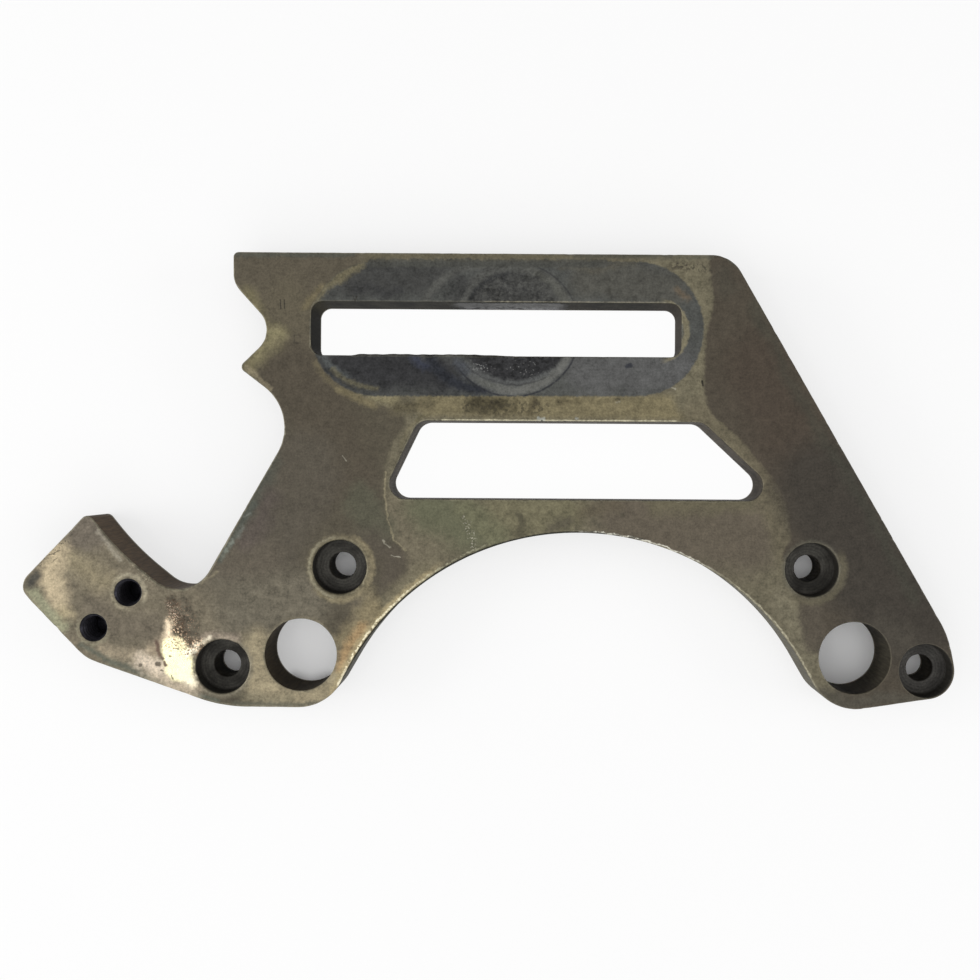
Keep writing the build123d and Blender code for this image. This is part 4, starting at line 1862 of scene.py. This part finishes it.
    marks: Stains = (
        stroke(((-74.3, 63.6), (-74.1, 60.4)), 0.22, 0.15, dark, 0.8),
        stroke(((-72.9, 63.5), (-72.8, 60.5)), 0.22, 0.15, dark, 0.8),
        stroke(((-48.6, 65), (-47.9, 63.4), (-47.2, 65)), 0.2, 0.15, dark, 0.8),
        stroke(((-69.3, 51.1), (-69.3, 48.3), (-67.2, 48.3)), 0.2, 0.2, dark, 0.4),
        stroke(((-67.2, 48.3), (-67.2, 51.1), (-69.3, 51.1)), 0.2, 0.2, dark, 0.3),
        stroke(((-52, 8.6), (-50.6, 6.8)), 0.15, 0.15, pale, 0.5),
        smear(((-37.6, -21), (-36.8, -22.4), (-35, -23.6)), 0.25, 0.25, pale, 0.7),
        smear(((-34.6, -26.6), (-31.4, -27.2)), 0.14, 0.15, pale, 0.7),
        Specks(Blot(((-8.9, -12.1), (-6, -23.7)), 0.8, 0.6, pale, 0.8), 0.6, 0.56),
        smear(((17.2, 22.1), (19, 22)), 0.5, 0.3, dull_silver, 0.6),
        smear(((30.6, 22.1),), 0.5, 0.3, dull_silver, 0.5),
        smear(((18.4, 21.4),), 0.4, 0.3, dark, 0.9),
        smear(((64.2, 33.6), (65.6, 32.9)), 0.18, 0.15, pale, 0.7),
        stroke(((74.9, 35.8), (75.2, 34.2)), 0.35, 0.2, oxide(24, 22, 18), 0.9),
        stroke(((88, 51.8), (88.3, 50.2)), 0.3, 0.2, dark, 0.4),
        Specks(Blot(((64, 76.6), (70, 76.4)), 1.6, 1.6, oxide(80, 74, 62), 0.9), 1.6, 0.48),
        Specks(Blot(((66, 77.6), (80, 75)), 1.4, 1.2, dark, 0.6), 1.1, 0.56),
        Specks(Blot(((-160, -33), (-150, -22)), 1.4, 1.2, dark, 0.7), 0.8, 0.57),
        smear(((48.4, 40.8), (49.8, 41.1)), 0.7, 0.5, rubbed(52, 54, 60), 0.9),
        smear(((41.8, 67.3),), 1.2, 1, dark, 0.5),
        smear(((-156.5, -27.5), (-151.8, -25.6)), 0.16, 0.15, dark, 0.7),
        smear(((-154.5, -29.8), (-152.5, -28)), 0.16, 0.15, dark, 0.6),
    )

    def material(self, plot: Plot) -> bpy.types.Material:
        """Builds the material of a plot.

        Args:
            plot: one of the plots.

        Returns:
            The material.
        """
        metal = Metal(f"front_face_{self.plots.index(plot) + 1}", self.skin, plot)
        nodes = metal.nodes
        worn_edge = nodes.trait("edge") * 2.0 + nodes.grain(3.0, 3.0, 11.0)
        metal.stain(self.web + self.body + self.leg + self.arm + self.strip)
        metal.lay(self.edge_metal, nodes.ramp(worn_edge, 0.95, 0.45, 0.45))
        metal.stain(self.right_side + self.bands)
        stadium = stroke(self.track_ends, self.track_radius, 0.45, rubbed(80, 81, 78))
        if plot.meets(stadium.extent):
            inside = stadium.share(nodes)
            metal.lay(stadium.patina, inside)
            metal.stain(self.track + self.washers, inside)
        metal.stain(self.halos)
        metal.lay(self.edge_metal, nodes.ramp(worn_edge, 0.95, 0.5, 0.15))
        metal.stain(self.polish_and_painted_light + self.marks)
        _, _, fret = metal.parts()
        brush = nodes.grain((5.0, 0.6, 1.0), 3.0) + nodes.grain((0.6, 5.0, 1.0), 3.0, 5.0) - 1.0
        grit = nodes.grain(0.8, 4.0, 2.0) - 0.5
        cloud = nodes.grain(7.0, 5.0, 7.0) - 0.5
        mottle = nodes.grain(2.4, 6.0, 3.0) - 0.5
        streak = nodes.grain((9.0, 1.1, 1.0), 4.0, 4.0) - 0.5
        fine = nodes.grain(0.35, 2.0, 8.0) - 0.5
        shade = brush * 0.12 + grit * 0.7 + fine * 0.5 + cloud * 0.3 + mottle * 0.35
        shade = shade + (mottle * 1.6 + grit * 0.8 + streak * 0.6) * (fret * 1.3)
        return metal.finish(shade + 1.0, brush * 0.4 + grit, grit * 0.16, 0.015)


@dataclass(frozen=True)
class PlainFinish:
    """Any other zone: one skin, a grimy second one in patches, worn metal at the edge, and tool marks.

    Attributes:
        lines: how long the tool marks are along x, y and z.
        streaks: how strongly the tool marks show.
        stains: stains seen from above, which run down the walls.
        gall: stains of the metal that the idler's stud tore up, below the height of its top.
        torn: the skin where the mesh itself is torn up, and painted shade where it is cut into the
        thread's grooves.
        rings: the centres of the rings that a cutter left.
        rim_shade_radii: the radii between which painted shade sets in towards each counterbore's wall.
    """

    name: str
    skin: Patina
    grime: Patina
    edge_metal: Patina = oxide(110, 104, 88)
    lines: Size = (0.6, 0.6, 6.0)
    edge_wear: float = 0.3
    streaks: float = 1.0
    gloss: float = 0.2
    stains: Stains = ()
    gall: Stains = ()
    gall_top: float = 13.0
    torn: Patina | None = None
    rings: Path = ()
    rim_shade_radii: Point = (8.8, 9.4)
    ring_pitch: float = 1.1

    def turned(self, nodes: Nodes) -> Field:
        """Draws rings round whichever centre is nearest.

        Args:
            nodes: the finish's nodes.

        Returns:
            The rings, from -0.5 to 0.5.
        """
        gap, *others = (nodes.vector("DISTANCE", nodes.flat, (*centre, 0.0)) for centre in self.rings)
        for other in others:
            gap = nodes.math("MINIMUM", gap, other)
        turn = (gap + nodes.grain(2.0, 3.0, 9.0)) * (2 * math.pi / self.ring_pitch)
        return nodes.math("SINE", turn) * 0.5

    def material(self) -> bpy.types.Material:
        """Builds the material.

        Returns:
            The material.
        """
        metal = Metal(self.name, self.skin)
        nodes = metal.nodes
        metal.lay(self.grime, nodes.ramp(nodes.grain(7.0, 4.0, 4.0), 0.36, 0.68))
        metal.stain(self.stains)
        marks, grit = nodes.grain(self.lines, 2.0) - 0.5, nodes.grain(0.8, 3.0, 2.0) - 0.5
        if self.gall:
            height = nodes.vector("DOT_PRODUCT", nodes.place, (0.0, 0.0, 1.0)) + marks * 4.0 + grit * 4.0
            metal.stain(self.gall, nodes.ramp(height, self.gall_top + 0.7, self.gall_top - 0.7))
        # Torn metal on the slot's wall; in the thread, painted shade deep in its grooves
        if self.torn:
            metal.lay(self.torn, nodes.ramp(nodes.trait("gall"), 0.1, 0.9, 0.85))
        # Painted shade: the counterbore's wall and corner darken to the grime's colour
        if self.rings:
            metal.lay(self.grime, nodes.ramp(nodes.trait("radius"), *self.rim_shade_radii, 0.8))
        edge, chips = nodes.trait("edge"), nodes.grain(2.5, 3.0, 11.0)
        metal.lay(self.edge_metal, nodes.ramp(edge * 2.0 + chips, 0.95, 0.4, self.edge_wear))
        shade = marks * self.streaks + grit * 0.8 + 1.0
        relief = marks * 1.2 + grit
        if self.rings:
            rings = self.turned(nodes) * nodes.grain(3.0, 2.0, 13.0)
            shade, relief = shade + rings * 0.5, relief + rings * 1.5
        return metal.finish(shade, relief, grit * 0.15, 0.03, self.gloss)


def plain_materials(plate: WornPlate) -> list[bpy.types.Material]:
    """Makes the material of each zone but the front face.

    Args:
        plate: the plate, which knows where its bolt holes are.

    Returns:
        The materials, in the order of the zones.
    """
    wall_stains = (
        Blot(((-148, -16), (-128, -34), (-108, -42)), 12, 4, Patina((74, 60, 44), 0.6, 0.2)),
        Blot(((88, -42), (104, -60), (112, -76)), 9, 9, Patina((86, 83, 70), 0.6, 0.3)),
        Blot(((-30, -38), (-44, -58), (-56, -78)), 8, 6, Patina((56, 54, 44), 0.6, 0.4)),
    )
    slot_stains_and_shade = (
        # Painted shade placed at the window's left wall
        Blot(((-44, -2), (-36, 12), (-26, 22)), 6, 4, Patina((36, 35, 28), 0.7, 0.0)),
        Blot(((70, 22), (92, 6)), 6, 3, Patina((58, 55, 46), 0.6, 0.0)),
        Blot(((98, 0), (98, -8)), 4, 3, Patina((32, 30, 24), 0.7, 0.0)),
        Blot(((64, 60), (72, 52), (70, 44)), 6, 3, Patina((54, 48, 39), 0.6, 0.0)),
        Blot(((-66, 62), (-58, 66)), 3, 2, Patina((50, 46, 28), 0.6, 0.0)),
        # Painted shade: darkens the slot's left wall
        Blot(((-66, 58), (-64, 46)), 4, 3, Patina((25, 24, 20), 0.7, 0.0)),
    )
    scar = Blot(((-10, 63), (24, 63)), 2.6, 1.4, Patina((88, 88, 89), 0.5, 0.5), 0.95)
    gall = (
        scar,
        Specks(Blot(((-12, 63), (10, 63)), 3, 2, Patina((30, 30, 29), 0.6, 0.2), 0.9), 2.6, 0.5),
        Specks(Blot(((4, 63), (22, 63)), 3, 1, Patina((112, 112, 112), 0.45, 0.5), 0.8), 1.5, 0.52),
    )
    wall = PlainFinish(
        "outer_wall", Patina((66, 58, 46), 0.6, 0.2), Patina((44, 38, 30), 0.65, 0.1),
        streaks=1.6, gloss=0.1, stains=wall_stains,
    )
    back = PlainFinish("back_face", oxide(106, 100, 84), oxide(84, 78, 66), lines=(6, 0.3, 1))
    slot = PlainFinish(
        "slot_wall", Patina((50, 48, 41), 0.65, 0.0), Patina((30, 29, 24), 0.65, 0.0),
        gloss=0.05, stains=slot_stains_and_shade, gall=gall, torn=Patina((74, 74, 72), 0.5, 0.5),
    )
    left_foot, right_foot = plate.large_holes
    corner_bolt = max(plate.bolt_centres())
    seat = PlainFinish(
        "bolt_seat", Patina((68, 66, 61), 0.5, 0.4), Patina((42, 40, 36), 0.6, 0.2),
        edge_wear=0.15, rings=plate.bolt_centres(),
        stains=(Blot((corner_bolt,), 10, 2, Patina((84, 82, 80), 0.5, 0.4), 0.35),),
    )
    bore = PlainFinish(
        "bore_wall", Patina((54, 50, 43), 0.65, 0.0), Patina((28, 25, 21), 0.65, 0.0),
        edge_wear=0.12, streaks=1.4, gloss=0.05,
        stains=(
            Blot(((left_foot.x, left_foot.y),), 14, 2, Patina((56, 47, 32), 0.65, 0.0), 0.8),
            Blot(((right_foot.x + 12, right_foot.y - 2),), 8, 4, Patina((68, 64, 54), 0.65, 0.0), 0.8),
        ),
    )
    # The thread's torn patina is painted shade in the roots of its grooves
    thread = PlainFinish(
        "thread", Patina((62, 61, 68), 0.4, 0.6), Patina((34, 33, 38), 0.5, 0.4),
        edge_wear=0.2, torn=Patina((26, 25, 28), 0.6, 0.2),
    )
    return [finish.material() for finish in (back, wall, slot, seat, bore, thread)]


# Studio


@dataclass(frozen=True)
class Lamp:
    """Soft rectangular lamp that looks at the plate. Places are metres."""

    name: str
    place: Size
    size: Point
    power: float
    target: Size = (0.0, 0.0, 0.0)

    def build(self) -> bpy.types.Object:
        """Makes the lamp.

        Returns:
            The lamp.
        """
        data = bpy.data.lights.new(self.name, "AREA")
        data.shape = "RECTANGLE"
        data.size, data.size_y = self.size
        data.energy = self.power
        lamp = bpy.data.objects.new(self.name, data)
        lamp.location = self.place
        direction = Vector(self.target) - Vector(self.place)
        lamp.rotation_euler = direction.to_track_quat("-Z", "Y").to_euler()
        bpy.context.scene.collection.objects.link(lamp)
        return lamp


@dataclass(frozen=True)
class Glimpse:
    """Part of the table that is seen through a hole of the plate, and how much it glows there: less glow is
    painted shade, more glow painted light.
    """

    path: Path
    reach: float
    glow: float
    soft: float = 0.5


@dataclass(frozen=True)
class Studio:
    """Pale table, lamps, surroundings and camera.

    Attributes:
        glimpses: the places where the table glows more or less than in the open, painted shade in
        the round holes and painted light in the slot and the window.
        sky_slope: how the light of the surroundings changes along x, y and z.
    """

    glimpses: tuple[Glimpse, ...] = ()

    table_half: float = 3.0
    table_colour: Colour = (250, 250, 250)
    table_glow: float = 0.66
    sky_light: float = 0.42
    sky_slope: Size = (-0.22, -0.26, 0.34)
    camera_place: Size = (0.01605, 0.0040, 0.333375)
    camera_turn: float = 0.36
    lens: float = 33.02
    shift: Point = (-0.0459, -0.0204)
    lamps: tuple[Lamp, ...] = (
        Lamp("key_lamp", (-0.50, -0.25, 0.97), (0.14, 0.14), 0.26, (-0.11, -0.06, 0.0)),
        Lamp("front_lamp", (0.1, -1.3, 0.7), (1.4, 0.5), 2.5),
        Lamp("top_lamp", (0.2, 0.0, 1.6), (1.2, 1.0), 2.5),
        Lamp("left_lamp", (-1.4, 0.0, 0.5), (0.8, 0.4), 8.0),
        Lamp("right_lamp", (1.4, 0.0, 0.5), (0.8, 0.4), 4.5),
    )

    def table(self) -> bpy.types.Object:
        """Makes the table, which looks white to the camera but still takes the plate's shadow, with painted
        shade in the round holes and painted light in the slot and the window.

        Returns:
            The table.
        """
        half = self.table_half
        corners = [(-half, -half, 0), (half, -half, 0), (half, half, 0), (-half, half, 0)]
        mesh = bpy.data.meshes.new("table")
        mesh.from_pydata(corners, [], [(0, 1, 2, 3)])
        nodes = Nodes("table_top")
        path = nodes.add("ShaderNodeLightPath")
        kinds = ("Camera", "Glossy", "Transmission")
        plain, mirrored, through = (Field(nodes, path.outputs[f"Is {kind} Ray"]) for kind in kinds)
        seen = nodes.math("MAXIMUM", nodes.math("MAXIMUM", plain, mirrored), through)
        cover = nodes.add("ShaderNodeBsdfPrincipled")
        nodes.feed(cover.inputs["Base Color"], linear(self.table_colour))
        nodes.feed(cover.inputs["Roughness"], 0.7)
        glow = nodes.add("ShaderNodeEmission")
        blend = nodes.add("ShaderNodeMixShader")
        share: Field | float = self.table_glow
        # Each glimpse paints the glow: lower is painted shade, higher is painted light
        for glimpse in self.glimpses:
            gap = gap_to_path(nodes, nodes.flat, glimpse.path)
            outer, inner = glimpse.reach + glimpse.soft, glimpse.reach - glimpse.soft
            share = nodes.ramp(gap, outer, inner, glimpse.glow - self.table_glow) + share
        nodes.feed(blend.inputs[0], seen * share)
        nodes.tree.links.new(cover.outputs[0], blend.inputs[1])
        nodes.tree.links.new(glow.outputs[0], blend.inputs[2])
        output = nodes.add("ShaderNodeOutputMaterial")
        nodes.tree.links.new(blend.outputs[0], output.inputs["Surface"])
        mesh.materials.append(nodes.material)
        table = bpy.data.objects.new("table", mesh)
        bpy.context.scene.collection.objects.link(table)
        return table

    def surroundings(self) -> None:
        """Sets grey surroundings, lighter at the front left, that look white to the camera."""
        world = bpy.data.worlds.new("surroundings")
        world.use_nodes = True
        tree = Tree(world.node_tree)
        direction = tree.read("ShaderNodeTexCoord", "Generated")
        light = tree.vector("DOT_PRODUCT", direction, self.sky_slope) + self.sky_light
        seen = tree.math("MAXIMUM", light, tree.read("ShaderNodeLightPath", "Is Camera Ray"))
        sky = tree.add("ShaderNodeBackground")
        tree.feed(sky.inputs["Color"], (1.0, 1.0, 1.0, 1.0))
        tree.feed(sky.inputs["Strength"], seen)
        output = tree.add("ShaderNodeOutputWorld")
        tree.feed(output.inputs["Surface"], Field(tree, sky.outputs[0]))
        bpy.context.scene.world = world

    def camera(self) -> bpy.types.Object:
        """Makes the camera, straight above the plate as in the photograph.

        Returns:
            The camera.
        """
        data = bpy.data.cameras.new("camera")
        data.lens = self.lens
        data.shift_x, data.shift_y = self.shift
        data.clip_start = 0.01
        camera = bpy.data.objects.new("camera", data)
        camera.location = self.camera_place
        camera.rotation_euler = (0.0, 0.0, math.radians(self.camera_turn))
        bpy.context.scene.collection.objects.link(camera)
        bpy.context.scene.camera = camera
        return camera

    def build(self) -> None:
        """Makes the whole studio."""
        self.table()
        self.surroundings()
        self.camera()
        for lamp in self.lamps:
            lamp.build()
            report.info("%s: %.1f W", lamp.name, lamp.power)
        bpy.context.scene.view_settings.view_transform = "Standard"


def glimpses(plate: WornPlate) -> tuple[Glimpse, ...]:
    """Works out where the table shows through the plate.

    Args:
        plate: the plate.

    Returns:
        The glimpses. The slot and the window get painted light, as white as the open table, and
        the round holes get painted shade.
    """
    left_foot, right_foot = (((hole.x, hole.y),) for hole in plate.large_holes)
    (x, y), = left_foot
    # Painted shadow: a darker crescent at the lower side of the left hole
    shaded = ((x - 6, y - 12.5), (x, y - 14.5), (x + 6, y - 12.5))
    reach = plate.large_hole_radius + 1.5
    half = plate.slot_height / 2
    low, high = plate.slot_left + half, plate.base.x + plate.slot_right_reach - half
    slot = ((low, plate.slot_level), (high, plate.slot_level))
    sill = plate.base.y + plate.arch_radius - plate.arch_centre_drop + plate.window_crown_web
    left, right = plate.base.x - plate.window_left_reach, plate.base.x + plate.window_right_reach
    window = ((left + 12, sill + 14), (right - 32, sill + 14), (right - 15, sill + 8))
    # Painted shade: the table under the bolt holes doesn't glow
    bolts = [Glimpse((centre,), plate.bolt_radius + 2, 0.0) for centre in plate.bolt_centres()]
    return (
        Glimpse(left_foot, reach, 0.3),
        Glimpse(shaded, 2.5, 0.36, 2.5),
        Glimpse(right_foot, reach, 0.0),
        Glimpse(slot, half + 4.5, 0.96),
        Glimpse(window, 16.5, 0.96),
        *bolts,
    )


def main() -> None:
    """Builds the bracket and its studio."""
    logging.basicConfig(level=logging.INFO, format="%(name)s %(message)s")
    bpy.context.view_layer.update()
    plate = WornPlate()
    face = FrontFace()
    plate.build(plain_materials(plate) + [face.material(plot) for plot in face.plots], face.plots)
    Studio(glimpses(plate)).build()


if __name__ == "__main__":
    main()
